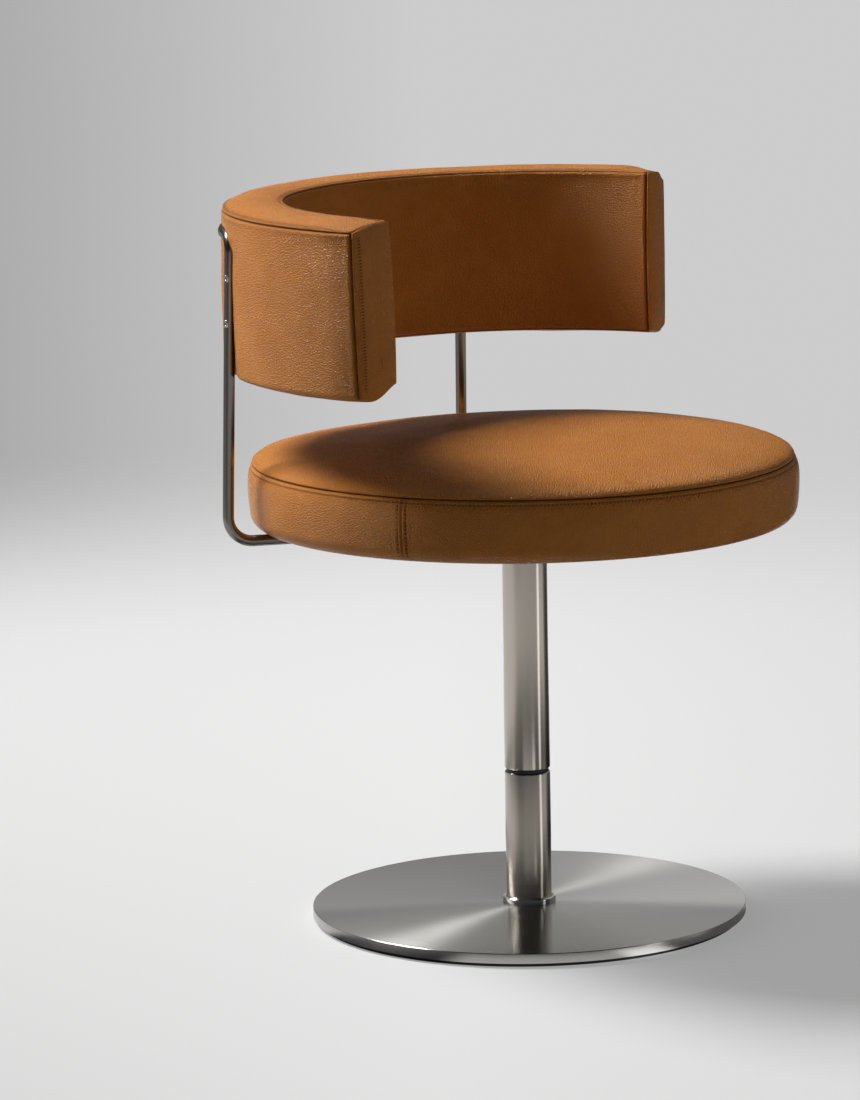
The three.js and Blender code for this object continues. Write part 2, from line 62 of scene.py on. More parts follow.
def makeCamera():
    around = math.radians(shot["azimuth"])
    heading = around + math.radians(shot["yaw"])
    down = math.radians(shot["pitch"])
    roll = math.radians(shot["roll"])
    ahead = Vector((-math.sin(heading) * math.cos(down), math.cos(heading) * math.cos(down), -math.sin(down)))
    level = Vector((math.cos(heading), math.sin(heading), 0))
    upright = level.cross(ahead)
    right = level * math.cos(roll) + upright * math.sin(roll)
    top = upright * math.cos(roll) - level * math.sin(roll)
    lens = bpy.data.cameras.new("camera")
    lens.sensor_width = shot["sensor"]
    lens.lens = shot["focal"] / shot["photoHeight"] * shot["sensor"]
    lens.clip_start, lens.clip_end = 0.1, 200
    camera = bpy.data.objects.new("camera", lens)
    bpy.context.scene.collection.objects.link(camera)
    turn = Matrix((right, top, -ahead)).transposed().to_4x4()
    place = Vector((math.sin(around), -math.cos(around), 0)) * shot["distance"]
    place.z = shot["height"]
    camera.matrix_world = Matrix.Translation(place) @ turn
    bpy.context.scene.camera = camera


makeCamera()
print("camera placed")


# shader sums: a wire is a socket that can be added, multiplied and compared in plain Python
class Wire:
    def __init__(self, sheet, socket):
        self.sheet, self.socket = sheet, socket

    def __add__(self, other):
        return self.sheet.math("ADD", self, other)

    def __radd__(self, other):
        return self.sheet.math("ADD", other, self)

    def __sub__(self, other):
        return self.sheet.math("SUBTRACT", self, other)

    def __rsub__(self, other):
        return self.sheet.math("SUBTRACT", other, self)

    def __mul__(self, other):
        return self.sheet.math("MULTIPLY", self, other)

    def __rmul__(self, other):
        return self.sheet.math("MULTIPLY", other, self)

    def __truediv__(self, other):
        return self.sheet.math("DIVIDE", self, other)

    def __pow__(self, other):
        return self.sheet.math("POWER", self, other)

    def __abs__(self):
        return self.sheet.math("ABSOLUTE", self)


class Sheet:
    def __init__(self, tree):
        self.tree = tree
        tree.nodes.clear()

    def node(self, kind, settings=None, sockets=None, out=0):
        made = self.tree.nodes.new("ShaderNode" + kind)
        for name, value in (settings or {}).items():
            setattr(made, name, value)
        for name, value in (sockets or {}).items():
            if isinstance(value, Wire):
                self.tree.links.new(value.socket, made.inputs[name])
            else:
                made.inputs[name].default_value = value
        return Wire(self, made.outputs[out]) if made.outputs else None

    def math(self, operation, *values):
        return self.node("Math", {"operation": operation}, dict(enumerate(values)))

    def clamp(self, value):
        return self.node("Clamp", None, {0: value})

    def step(self, value, low, high):  # smooth step from 0 at low to 1 at high
        sockets = {0: value, 1: low, 2: high, 3: 0, 4: 1}
        return self.node("MapRange", {"interpolation_type": "SMOOTHSTEP"}, sockets)

    def grey(self, level):
        return self.node("CombineColor", None, {0: level, 1: level, 2: level})

    def flatLength(self, x, y):
        return self.math("SQRT", x * x + y * y)

    def blend(self, factor, first, second):  # two colours
        colours = [c if isinstance(c, Wire) else (*c, 1) for c in (first, second)]
        return self.node("Mix", {"data_type": "RGBA"}, {0: factor, 6: colours[0], 7: colours[1]}, out=2)

    def place(self):
        return self.node("TexCoord", out=3)

    def parts(self, vector):
        split = self.node("SeparateXYZ", None, {0: vector}).socket.node
        return [Wire(self, socket) for socket in split.outputs]

    def noise(self, scale, detail=2, roughness=0.5, vector=None):
        sockets = {"Vector": vector or self.place(), "Scale": scale, "Detail": detail, "Roughness": roughness}
        return self.node("TexNoise", None, sockets)

    def stretched(self, scale):  # object place, scaled along each axis
        return self.node("Mapping", None, {0: self.place(), 3: scale})

    def bump(self, height, distance, strength=1.0, under=None):
        sockets = {"Height": height, "Distance": distance, "Strength": strength}
        if under:
            sockets["Normal"] = under
        return self.node("Bump", None, sockets)

    def finish(self, **sockets):
        named = {name.replace("_", " "): value for name, value in sockets.items()}
        shader = self.node("BsdfPrincipled", None, named)
        self.node("OutputMaterial", None, {0: shader})


def newFinish(name):
    material = bpy.data.materials.new(name)
    material.use_nodes = True
    return material, Sheet(material.node_tree)


# leather: pebbled grain in two sizes, mottled tan, painted shade in the seams, the stitch holes and beside
# the rod, and tucked beside the stitches
leather = {
    "tan": (0.57, 0.213, 0.034),
    "deep": (0.49, 0.168, 0.024),
    "worn": (0.63, 0.265, 0.056),
    # the seam colour is painted shade, blended in at seams, stitch holes, sewn rows and the crease beside the
    # rod
    "seam": (0.07, 0.022, 0.005),
    "pebbleScale": 390,
    "fineScale": 1000,
    "driftScale": 900,
    "pushScale": 260,
    "push": 0.9 * mm,
    "mottleScale": 13,
    "patchScale": 55,
    "softScale": 110,
    "puckerWaves": 1700,
    "rough": 0.32,
    "gloss": 0.17,
    "grainDepth": 1.3 * mm,
    "softDepth": 1 * mm,
}


def tanLeather(name, forward, stitches, rise):  # stitches round the full circle, and how far apart upwards
    material, s = newFinish(name)
    x, y, z = s.parts(s.place())
    seam, tuck, sewn = (
        s.node("Attribute", {"attribute_name": layer}, out=2) for layer in ("seam", "tuck", "sewn"))
    drift = s.noise(leather["driftScale"], 2)
    push = s.node("TexNoise", None, {"Vector": s.place(), "Scale": leather["pushScale"], "Detail": 2}, out=1)
    wander = s.node("VectorMath", {"operation": "SCALE"}, {0: push, 3: leather["push"]})
    where = s.node("VectorMath", {"operation": "ADD"}, {0: s.place(), 1: wander})
    pebble, fine = (
        s.node("TexVoronoi", {"feature": "DISTANCE_TO_EDGE"}, {"Vector": where, "Scale": leather[scale]})
        for scale in ("pebbleScale", "fineScale"))
    grain = s.clamp(pebble * 2.6) ** 0.7
    pores = s.clamp(fine * 4)
    mottle = s.noise(leather["mottleScale"], 4, 0.62)
    patch = s.noise(leather["patchScale"], 3, 0.6)
    tone = s.blend(s.step(mottle * 0.6 + patch * 0.4, 0.35, 0.7), leather["deep"], leather["tan"])
    tone = s.blend(s.step(grain * 0.75 + drift * 0.25, 0.45, 1.0) * 0.4, tone, leather["worn"])
    around = s.math("ARCTAN2", x, y + forward) * stitches
    upward = s.math("COSINE", z * (2 * math.pi / rise)) * -1
    # stitch holes: rows round the arc where sewn is above 0, rows upwards where it is below
    holes = s.step(s.math("COSINE", around) * -1, 0.0, 0.6) * s.clamp(sewn)
    holes = holes + s.step(upward, 0.0, 0.6) * s.clamp(sewn * -1)
    # painted shade: seams, stitch holes, sewn rows and the crease beside the rod go towards the dark seam
    # colour
    tone = s.blend(s.clamp(seam + holes * 0.9 + abs(sewn) * 0.1), tone, leather["seam"])
    rough = leather["rough"] - grain * 0.07 - patch * 0.05 + seam * 0.25
    height = grain * 0.65 + pores * 0.15 + drift * 0.2 - holes * 0.6
    pucker = s.math("SINE", around + z * leather["puckerWaves"]) * tuck
    soft = s.bump(s.noise(leather["softScale"], 3, 0.6) + pucker * 0.5, leather["softDepth"], 0.7)
    s.finish(
        Base_Color=tone, Roughness=rough, Specular_IOR_Level=leather["gloss"],
        Normal=s.bump(height, leather["grainDepth"], 1.0, soft),
    )
    return material


def threadFinish():
    material, s = newFinish("leather_thread")
    twist = s.node("TexWave", {"wave_type": "BANDS"}, {"Vector": s.place(), "Scale": 900, "Distortion": 2})
    tone = s.blend(twist, (0.2, 0.08, 0.024), (0.34, 0.145, 0.045))
    s.finish(Base_Color=tone, Roughness=0.6, Normal=s.bump(twist, 0.0001, 0.5))
    return material


# steel: grooves run round the column's axis, so gloss is drawn out across them
steel = {"plate": (0.57, 0.555, 0.525), "tube": (0.6, 0.55, 0.485), "dull": 0.84}


def roundBrushed(name, tint, roughness, anisotropy, ringScale):
    material, s = newFinish(name)
    x, y, z = s.parts(s.place())
    radius = s.flatLength(x, y)
    lane = s.node("CombineXYZ", None, {0: radius * ringScale, 1: z * ringScale, 2: s.noise(5, 2) * 0.4})
    rings = s.noise(1, 4, 0.7, lane)
    smear = s.noise(9, 4, 0.6)
    tone = s.blend(s.clamp(rings * 0.7 + smear * 0.5 - 0.1), [c * steel["dull"] for c in tint], tint)
    rough = roughness + (rings - 0.5) * 0.1 + (smear - 0.5) * 0.06
    s.finish(
        Base_Color=tone, Roughness=rough, Metallic=1.0, Anisotropic=anisotropy, Anisotropic_Rotation=0.25,
        Normal=s.bump(rings, 0.00002, 0.22),
    )
    return material


def plainSteel(name, tint, roughness, wear):
    material, s = newFinish(name)
    smear = s.noise(60, 4, 0.6)
    scratch = s.noise(1, 5, 0.7, s.stretched((420, 420, 60)))
    tone = s.blend(s.clamp(smear * 0.6 + scratch * 0.4), [c * (1 - wear) for c in tint], tint)
    rough = roughness + (smear - 0.5) * 0.1 + (scratch - 0.5) * 0.08
    s.finish(Base_Color=tone, Roughness=rough, Metallic=1.0, Normal=s.bump(scratch, 0.00002, 0.3))
    return material


def mouldedBlack(name, tint, roughness, grain):
    material, s = newFinish(name)
    speck = s.noise(grain, 3, 0.6)
    tone = s.blend(speck, [c * 0.7 for c in tint], [c * 1.5 for c in tint])
    s.finish(Base_Color=tone, Roughness=roughness + (speck - 0.5) * 0.15, Normal=s.bump(speck, 0.0001, 0.4))
    return material


def birchPly():
    material, s = newFinish("birch_ply")
    x, y, z = s.parts(s.place())
    layer = s.math("FRACT", z / 0.0028)
    grain = s.noise(1, 5, 0.65, s.stretched((30, 260, 30)))
    tone = s.blend(grain, (0.42, 0.27, 0.13), (0.66, 0.48, 0.27))
    tone = s.blend(s.step(abs(layer - 0.5), 0.3, 0.5) * 0.45, tone, (0.24, 0.14, 0.06))
    s.finish(Base_Color=tone, Roughness=0.6 + grain * 0.15, Normal=s.bump(grain, 0.0002, 0.4))
    return material


def foamFinish():
    material, s = newFinish("foam_block")
    cell = s.node("TexVoronoi", None, {"Vector": s.place(), "Scale": 700})
    tone = s.blend(cell, (0.5, 0.43, 0.26), (0.76, 0.69, 0.48))
    s.finish(Base_Color=tone, Roughness=0.9, Normal=s.bump(cell, 0.0005, 0.7))
    return material


def liningFinish():
    material, s = newFinish("lining_cloth")
    x, y, z = s.parts(s.place())
    weave = s.math("SINE", x * 3600) * s.math("SINE", y * 3600)
    fuzz = s.noise(500, 3)
    tone = s.blend(s.clamp(weave * 0.3 + fuzz), (0.008, 0.008, 0.009), (0.03, 0.029, 0.03))
    s.finish(Base_Color=tone, Roughness=0.92, Normal=s.bump(weave + fuzz, 0.0002, 0.4))
    return material


finishes = {
    "seatLeather": tanLeather("seat_leather", 0, 458, 3.7 * mm),
    "backLeather": tanLeather("back_leather", 15 * mm, 630, 3 * mm),
    "thread": threadFinish(),
    "plate": roundBrushed("brushed_plate", steel["plate"], 0.23, 0.92, 2200),
    "tube": roundBrushed("brushed_tube", steel["tube"], 0.2, 0.7, 1500),
    "bead": plainSteel("polished_bead", (0.66, 0.65, 0.63), 0.13, 0.05),
    "rod": plainSteel("satin_rod", (0.25, 0.228, 0.208), 0.22, 0.12),
    "screw": plainSteel("bright_screw", (0.68, 0.67, 0.65), 0.16, 0.06),
    "zinc": plainSteel("dull_zinc", (0.5, 0.5, 0.51), 0.42, 0.25),
    "acetal": mouldedBlack("black_acetal", (0.012, 0.012, 0.012), 0.42, 900),
    "rubber": mouldedBlack("black_rubber", (0.014, 0.014, 0.015), 0.82, 1400),
    "ply": birchPly(),
    "foam": foamFinish(),
    "lining": liningFinish(),
}
print("finishes made")


# mesh helpers
def chain(bm, points, closed=True):  # a few vertices joined in a line
    verts = [bm.verts.new(p) for p in points]
    edges = [bm.edges.new(pair) for pair in zip(verts, verts[1:])]
    if closed:
        edges.append(bm.edges.new((verts[-1], verts[0])))
    return verts, edges


def lathe(bm, profile, steps, closed=True):  # radius and height pairs turned once round Z
    verts, edges = chain(bm, [(r, 0, z) for r, z in profile], closed)
    bmesh.ops.spin(
        bm, geom=verts + edges, cent=(0, 0, 0), axis=(0, 0, 1), dvec=(0, 0, 0), angle=2 * math.pi,
        steps=steps, use_merge=True, use_duplicate=False,
    )
    bmesh.ops.remove_doubles(bm, verts=bm.verts, dist=1e-6)
    bmesh.ops.recalc_face_normals(bm, faces=bm.faces)


def growRing(bm, edges):  # copies an open ring of edges and joins it on
    grown = bmesh.ops.extrude_edge_only(bm, edges=edges)["geom"]
    verts = [g for g in grown if isinstance(g, bmesh.types.BMVert)]
    return verts, [g for g in grown if isinstance(g, bmesh.types.BMEdge) and g.is_boundary]


def softenEdges(bm, sharper, width, segments=3, where=None):
    limit = math.radians(sharper)
    edges = [e for e in bm.edges if len(e.link_faces) == 2 and e.calc_face_angle(0) > limit]
    if where:
        edges = [e for e in edges if where((e.verts[0].co + e.verts[1].co) / 2)]
    bmesh.ops.bevel(
        bm, geom=edges, offset=width, offset_type="OFFSET", segments=segments, profile=0.5, affect="EDGES",
        material=-1, clamp_overlap=True,
    )


def makeObject(name, bm):
    mesh = bpy.data.meshes.new(name)
    bm.to_mesh(mesh)
    bm.free()
    mesh.polygons.foreach_set("use_smooth", [True] * len(mesh.polygons))
    piece = bpy.data.objects.new(name, mesh)
    bpy.context.scene.collection.objects.link(piece)
    return piece


def setPiece(piece, finish, body, slotName, *nodes):
    piece.data.materials.clear()
    piece.data.materials.append(finishes[finish])
    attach(piece, body)
    if nodes:
        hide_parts(*nodes)


def subdivided(piece, levels):  # Subdivision Surface, applied
    smooth = piece.modifiers.new("smooth", "SUBSURF")
    smooth.levels = smooth.render_levels = levels
    graph = bpy.context.evaluated_depsgraph_get()
    mesh = bpy.data.meshes.new_from_object(piece.evaluated_get(graph))
    piece.modifiers.clear()
    old, piece.data = piece.data, mesh
    bpy.data.meshes.remove(old)
    mesh.name = piece.name
    mesh.polygons.foreach_set("use_smooth", [True] * len(mesh.polygons))
    return piece


def sharpShading(piece, degrees):
    piece.data.set_sharp_from_angle(angle=math.radians(degrees))


def plainRing(inner, outer, low, high):  # the outline of a ring, or of a disc where inner is 0
    return [(inner, low), (outer, low), (outer, high), (inner, high)]


def turned(name, profile, steps, closed=True, edge=0, segments=3, where=None, sharp=40):
    bm = bmesh.new()
    lathe(bm, profile, steps, closed)
    if edge:
        softenEdges(bm, 45, edge, segments, where)
    piece = makeObject(name, bm)
    sharpShading(piece, sharp)
    return piece


def reshape(piece, move):  # move gives each vertex its place, its share of painted seam shade, and its share in a tuck and a sewn row
    moved = [move(v.co.copy(), v.normal.copy()) for v in piece.data.vertices]
    piece.data.vertices.foreach_set("co", [value for vertex in moved for value in vertex[0]])
    for index, name in ((1, "seam"), (2, "tuck"), (3, "sewn")):
        layer = piece.data.attributes.new(name, "FLOAT", "POINT")
        layer.data.foreach_set("value", [vertex[index] for vertex in moved])
    piece.data.update()


def polar(radius, angle, height, forward=0.0):  # angle from the rear (+Y) towards +X
    return Vector((radius * math.sin(angle), radius * math.cos(angle) - forward, height))


def sideways(angle):  # the direction along the arc, where polar gives the one out of it
    return Vector((math.cos(angle), -math.sin(angle), 0))


def clamped(value):
    return min(1, max(0, value))


def eased(share):  # 0 to 1 with a soft start and a soft end
    return share * share * (3 - 2 * share)


def bell(distance, width):
    return math.exp(-((distance / width) ** 2))


def swell(distance, height, centre, width):  # a rounded rise, or painted shade, at a distance from a seam
    return height * bell(distance - centre, width)


def waves(co, layers):  # gentle unevenness: how fine each layer is, how high, and where it starts
    return sum(noise.noise(co * fine + Vector(start)) * height for fine, height, start in layers)


def curvePoint(controls, share):  # a point on the curve with these control points
    points = [Vector(c) for c in controls]
    while len(points) > 1:
        points = [a.lerp(b, share) for a, b in zip(points, points[1:])]
    return points[0]


def graded(length, coarse, ends=(), zones=()):  # places along a length, closer where it matters
    places = {0.0, length}
    places.update(ends)
    places.update(length - e for e in ends)
    for centre, reach, pitch in zones:
        count = round(2 * reach / pitch)
        places.update(centre - reach + 2 * reach * i / count for i in range(count + 1))
    ordered = sorted(p for p in places if 0 <= p <= length)
    kept = [ordered[0]]
    for place in ordered[1:]:
        if place - kept[-1] > 0.5 * mm:
            kept.append(place)
    kept[-1] = length
    filled = [0.0]
    for a, b in zip(kept, kept[1:]):
        count = max(1, math.ceil((b - a) / coarse))
        filled.extend(a + (b - a) * i / count for i in range(1, count + 1))
    return filled


# sewn stitches: small capsules, each given by its middle, its direction and the side that faces out
def stitching(name, rows, length, thickness, cover):
    leatherMesh = cover.data
    skin = bvhtree.BVHTree.FromPolygons(
        [v.co for v in leatherMesh.vertices], [list(p.vertices) for p in leatherMesh.polygons])
    bm = bmesh.new()
    bmesh.ops.create_uvsphere(bm, u_segments=5, v_segments=6, radius=0.5)
    bmesh.ops.rotate(bm, cent=(0, 0, 0), matrix=Matrix.Rotation(math.pi / 2, 3, "Y"), verts=bm.verts)
    bmesh.ops.scale(bm, vec=(length, thickness, thickness), verts=bm.verts)
    shape = [v.co.copy() for v in bm.verts]
    loops = [[v.index for v in face.verts] for face in bm.faces]
    bm.free()
    points, faces = [], []
    for middle, along, out in rows:
        spot, normal = skin.find_nearest(middle)[:2]
        out = normal if normal.dot(out) > 0 else -normal
        along = along - out * along.dot(out)
        middle = spot + out * thickness * 0.25
        side = along.cross(out).normalized()
        turn = Matrix((along.normalized(), side, side.cross(along).normalized())).transposed()
        start = len(points)
        points.extend(middle + turn @ co for co in shape)
        faces.extend([start + i for i in loop] for loop in loops)
    mesh = bpy.data.meshes.new(name)
    mesh.from_pydata(points, [], faces)
    mesh.polygons.foreach_set("use_smooth", [True] * len(faces))
    piece = bpy.data.objects.new(name, mesh)
    bpy.context.scene.collection.objects.link(piece)
    setPiece(piece, "thread", "seat", "leather")


# plate foot
foot = {"radius": 215 * mm, "bottom": 4 * mm, "top": 14 * mm, "edge": 0.8 * mm, "steps": 180,
        "bore": 6.3 * mm, "counterbore": 12.3 * mm, "counterboreTop": 10.3 * mm}
pad = {"radius": 210 * mm, "top": 3.7 * mm, "edge": 0.7 * mm}


def basePlate():
    profile = [
        (foot["bore"], foot["top"]), (foot["radius"], foot["top"]), (foot["radius"], foot["bottom"]),
        (foot["counterbore"], foot["bottom"]), (foot["counterbore"], foot["counterboreTop"]),
        (foot["bore"], foot["counterboreTop"]),
    ]
    piece = turned("foot_plate", profile, foot["steps"], True, foot["edge"], 3,
                   lambda c: c.xy.length > foot["radius"] / 2, 32)
    setPiece(piece, "plate", "base", "brushed_steel", "base_plate")


def floorPad():
    profile = plainRing(0, pad["radius"], 0, pad["top"])
    piece = turned("foot_pad", profile, foot["steps"], False, pad["edge"], 2)
    setPiece(piece, "rubber", "base", "black_rubber", "floor_pad")


# column: two tubes with a joint line, a ring in it, and a bead on the plate
column = {"radius": 22.5 * mm, "inner": 20.5 * mm, "foot": 14.3 * mm, "split": 146 * mm, "opening": 4 * mm,
          "top": 398.7 * mm, "edge": 0.9 * mm, "steps": 120,
          "ring": 20.9 * mm, "ringBore": 12.8 * mm, "ringGap": 0.3 * mm, "ringEdge": 0.3 * mm}
bead = {"inner": 22.8 * mm, "width": 3.7 * mm, "height": 6 * mm, "arcSteps": 10}


def tube(name, low, high, rounded, body, node):  # the end at the height rounded has a soft edge
    outside = (column["inner"] + column["radius"]) / 2
    profile = plainRing(column["inner"], column["radius"], low, high)
    piece = turned(name, profile, column["steps"], True, column["edge"], 3,
                   lambda c: c.xy.length > outside and abs(c.z - rounded) < mm, 32)
    setPiece(piece, "tube", body, "brushed_steel", node)


def thrustRing():
    low = column["split"] + column["ringGap"]
    high = column["split"] + column["opening"] - column["ringGap"]
    profile = plainRing(column["ringBore"], column["ring"], low, high)
    piece = turned("joint_ring", profile, column["steps"], True, column["ringEdge"], 2)
    setPiece(piece, "acetal", "base", "black_plastic", "thrust_ring")


def columnBead():
    half = bead["width"] / 2
    low = column["foot"]
    high = low + bead["height"] - half
    arc = [(bead["inner"] + half + half * math.cos(a), high + half * math.sin(a))
           for a in (math.pi * i / bead["arcSteps"] for i in range(bead["arcSteps"] + 1))]
    profile = [(bead["inner"], low), (bead["inner"] + bead["width"], low), *arc]
    piece = turned("column_bead", profile, column["steps"])
    setPiece(piece, "bead", "base", "polished_steel", "column_collar")


basePlate()
floorPad()
tubeGap = column["split"] + column["opening"]
tube("column_lower", column["foot"], column["split"], column["split"], "base", "lower_tube")
tube("column_upper", tubeGap, column["top"], tubeGap, "seat", "upper_tube")
thrustRing()
columnBead()
print("foot and column made")


# bent rod: out from the column under the seat, up beside it, and round the back
rod = {"radius": 5.5 * mm, "angle": math.radians(44.5), "forward": 15 * mm, "hub": 22.8 * mm,
       "runHeight": 393.2 * mm, "railHeight": 690 * mm, "lowBend": 24 * mm, "topBend": 15 * mm,
       "reach": 297 * mm, "lean": 7.5 * mm, "tuckIn": 1.5 * mm, "lead": 36 * mm,
       "sides": 24, "straightSteps": 10, "bendSteps": 12, "railSteps": 60}
rod["foot"] = rod["forward"] * math.cos(rod["angle"]) + math.sqrt(
    rod["reach"] ** 2 - (rod["forward"] * math.sin(rod["angle"])) ** 2)
rod["rail"] = rod["foot"] - rod["lean"]


def rodCorners(side):
    turnIn = rod["lead"] / rod["rail"]
    centre = Vector((0, 0, rod["runHeight"]))
    low = polar(rod["foot"], side * rod["angle"], rod["runHeight"], rod["forward"])
    hub = centre + (low - centre).normalized() * rod["hub"]
    high = polar(rod["rail"] - rod["tuckIn"], side * rod["angle"], rod["railHeight"], rod["forward"])
    start = polar(rod["rail"], side * (rod["angle"] - turnIn), rod["railHeight"], rod["forward"])
    return hub, low, high, start


def bendOf(before, corner, after, radius):  # where a bend starts, and the axis, centre and angle it turns by
    inward, outward = (before - corner).normalized(), (after - corner).normalized()
    half = inward.angle(outward) / 2
    start = corner + inward * (radius / math.tan(half))
    centre = corner + (inward + outward).normalized() * (radius / math.sin(half))
    axis = (start - centre).cross(corner + outward * (radius / math.tan(half)) - centre).normalized()
    return start, centre, axis, math.pi - 2 * half


def bentRod():
    bm = bmesh.new()
    hub, low, high, railStart = rodCorners(1)
    heading = (low - hub).to_track_quat("Z", "Y").to_matrix().to_4x4()
    bmesh.ops.create_circle(
        bm, cap_ends=False, radius=rod["radius"], segments=rod["sides"],
        matrix=Matrix.Translation(hub) @ heading)
    edges = list(bm.edges)
    spine = [hub.copy()]

    def runTo(goal, edges, pieces):
        here = spine[-1]
        for i in range(pieces):
            verts, edges = growRing(bm, edges)
            bmesh.ops.translate(bm, verts=verts, vec=(goal - here) / pieces)
            spine.append(here.lerp(goal, (i + 1) / pieces))
        return edges

    def turnBy(centre, axis, angle, edges, steps):
        step = Matrix.Rotation(angle / steps, 3, axis)
        for i in range(steps):
            verts, edges = growRing(bm, edges)
            bmesh.ops.rotate(bm, cent=centre, matrix=step, verts=verts)
            spine.append(centre + step @ (spine[-1] - centre))
        return edges

    bends = ((hub, low, high, rod["lowBend"]), (low, high, railStart, rod["topBend"]))
    for before, corner, after, radius in bends:
        start, centre, axis, angle = bendOf(before, corner, after, radius)
        edges = runTo(start, edges, rod["straightSteps"])
        edges = turnBy(centre, axis, angle, edges, rod["bendSteps"])
    edges = runTo(railStart, edges, 1)
    pivot = Vector((0, -rod["forward"], rod["railHeight"]))
    swing = math.atan2(railStart.x, railStart.y + rod["forward"])
    edges = turnBy(pivot, Vector((0, 0, 1)), swing, edges, rod["railSteps"])
    for vertex in {v for e in edges for v in e.verts}:
        vertex.co.x = 0
    bmesh.ops.mirror(bm, geom=list(bm.verts) + list(bm.edges) + list(bm.faces), axis="X", merge_dist=1e-6)
    ends = [e for e in bm.edges if e.is_boundary]
    bmesh.ops.holes_fill(bm, edges=ends, sides=0)
    bmesh.ops.recalc_face_normals(bm, faces=bm.faces)
    piece = makeObject("bent_rod", bm)
    sharpShading(piece, 40)
    setPiece(piece, "rod", "seat", "brushed_steel", "back_frame")
    return spine + [Vector((-p.x, p.y, p.z)) for p in reversed(spine[:-1])]


rodSpine = bentRod()

# countersunk screws through the uprights, with a hexagon socket
backScrew = {"drops": [40 * mm, 84 * mm], "skew": math.radians(35), "shank": 2 * mm, "head": 3.6 * mm,
             "face": 5.5 * mm, "sink": 2 * mm, "chamferIn": 0.3 * mm, "chamferDown": 0.25 * mm,
             "lipOut": 0.2 * mm, "lipUp": 0.12 * mm, "lipDown": 0.1 * mm, "steps": 24,
             "socket": 1.5 * mm, "socketDepth": 1.3 * mm, "socketPoint": 0.4 * mm, "depth": 8 * mm}


def backScrewPiece(index, side, drop):
    height = rod["railHeight"] - drop
    share = (height - rod["runHeight"]) / (rod["railHeight"] - rod["runHeight"])
    radius = rod["foot"] + (rod["rail"] - rod["tuckIn"] - rod["foot"]) * share
    face, socket, floor = backScrew["face"], backScrew["socket"], backScrew["face"] - backScrew["socketDepth"]
    bm = bmesh.new()
    lathe(bm, [
        (0, -backScrew["depth"]), (backScrew["shank"], -backScrew["depth"]),
        (backScrew["shank"], face - backScrew["sink"]), (backScrew["head"], face - backScrew["chamferDown"]),
        (backScrew["head"] - backScrew["chamferIn"], face),
        (socket + backScrew["lipOut"], face + backScrew["lipUp"]), (socket, face - backScrew["lipDown"]),
        (socket, floor), (0, floor - backScrew["socketPoint"]),
    ], backScrew["steps"], False)
    centre = polar(radius, side * rod["angle"], height, rod["forward"])
    turn = polar(1, side * (rod["angle"] + backScrew["skew"]), 0).to_track_quat("Z", "Y").to_matrix().to_4x4()
    bmesh.ops.transform(bm, matrix=Matrix.Translation(centre) @ turn, verts=bm.verts)
    piece = makeObject(f"rod_screw_{index}", bm)
    sharpShading(piece, 35)
    setPiece(piece, "screw", "seat", "polished_steel", f"back_screw_{index}")


def backScrews():
    places = [(side, drop) for side in (-1, 1) for drop in backScrew["drops"]]
    for index, (side, drop) in enumerate(places):
        backScrewPiece(index + 1, side, drop)


backScrews()
print("rod and screws made")


# seat: side band, crowned top and foam
seat = {"radius": 270 * mm, "low": 399 * mm, "seam": 460 * mm, "inner": 245 * mm, "crown": 20 * mm,
        "slack": 1.2 * mm, "roll": 3.4 * mm, "steps": 216, "sewn": 3.9 * mm, "pitch": 3.7 * mm,
        "joins": [math.radians(-96), math.radians(84)], "joinSewn": 4.4 * mm}
# swellings are given by their height, their distance from the seam and their width; the dark swellings are
# painted shade along the seam and at the joins
band = {"bulge": 1.5 * mm, "round": 15 * mm, "roundSteps": 8, "flatEdge": 4 * mm, "rollHeight": 13 * mm,
        "puff": (0.45 * mm, 2 * mm, 1.2 * mm), "groove": (0.6 * mm, 0, 0.9 * mm), "dark": (0.85, 0, 0.5 * mm),
        "tuck": (1, 6.4 * mm, 2.2 * mm), "sewnWidth": 0.6 * mm, "sewnDepth": 0.7 * mm, "seamReach": 30 * mm,
        "joinPuff": (0.45 * mm, 2.3 * mm, 1.4 * mm), "joinGroove": (1 * mm, 0, 0.8 * mm),
        "joinPaintedShade": (0.6, 0, 0.6 * mm), "joinSewnWidth": 0.9 * mm, "joinSewnDepth": 0.4 * mm,
        "joinReach": 25 * mm, "waves": [(24, 0.5 * mm, (0, 0, 0)), (60, 0.22 * mm, (0, 0, 0))],
        "waveFrom": 3 * mm, "waveRun": 12 * mm}
# the crown's dark swelling is painted shade in the seam at its foot
crown = {"foot": seat["seam"] + 0.3 * mm, "radius": seat["radius"] - seat["slack"] - seat["roll"] + 0.2 * mm,
         "pole": 0.35 * mm, "rings": 34, "rearAngle": math.radians(18), "rearWidth": math.radians(50),
         "waves": [(9, 1.1 * mm, (0, 0, 0)), (26, 0.45 * mm, (3, 1, 7))], "waveFade": 0.12,
         "ripples": 19, "ripple": (0.4 * mm, 9 * mm, 9 * mm), "rippleReach": 40 * mm,
         "dark": (0.8, 0, 0.6 * mm), "tuck": (0.5, 1 * mm, 5 * mm)}


def aroundSeat(bm, edges):  # turns a section round in steps that are finer beside the band's joins
    girth = 2 * math.pi * seat["radius"]
    zones = [((a % (2 * math.pi)) * seat["radius"], 9 * mm, 1.2 * mm) for a in seat["joins"]]
    places = graded(girth, girth / seat["steps"], (), zones)
    for a, b in zip(places, places[1:]):
        verts, edges = growRing(bm, edges)
        turn = Matrix.Rotation((a - b) / seat["radius"], 3, "Z")
        bmesh.ops.rotate(bm, cent=(0, 0, 0), matrix=turn, verts=verts)
    bmesh.ops.remove_doubles(bm, verts=bm.verts, dist=1e-5)
    bmesh.ops.recalc_face_normals(bm, faces=bm.faces)


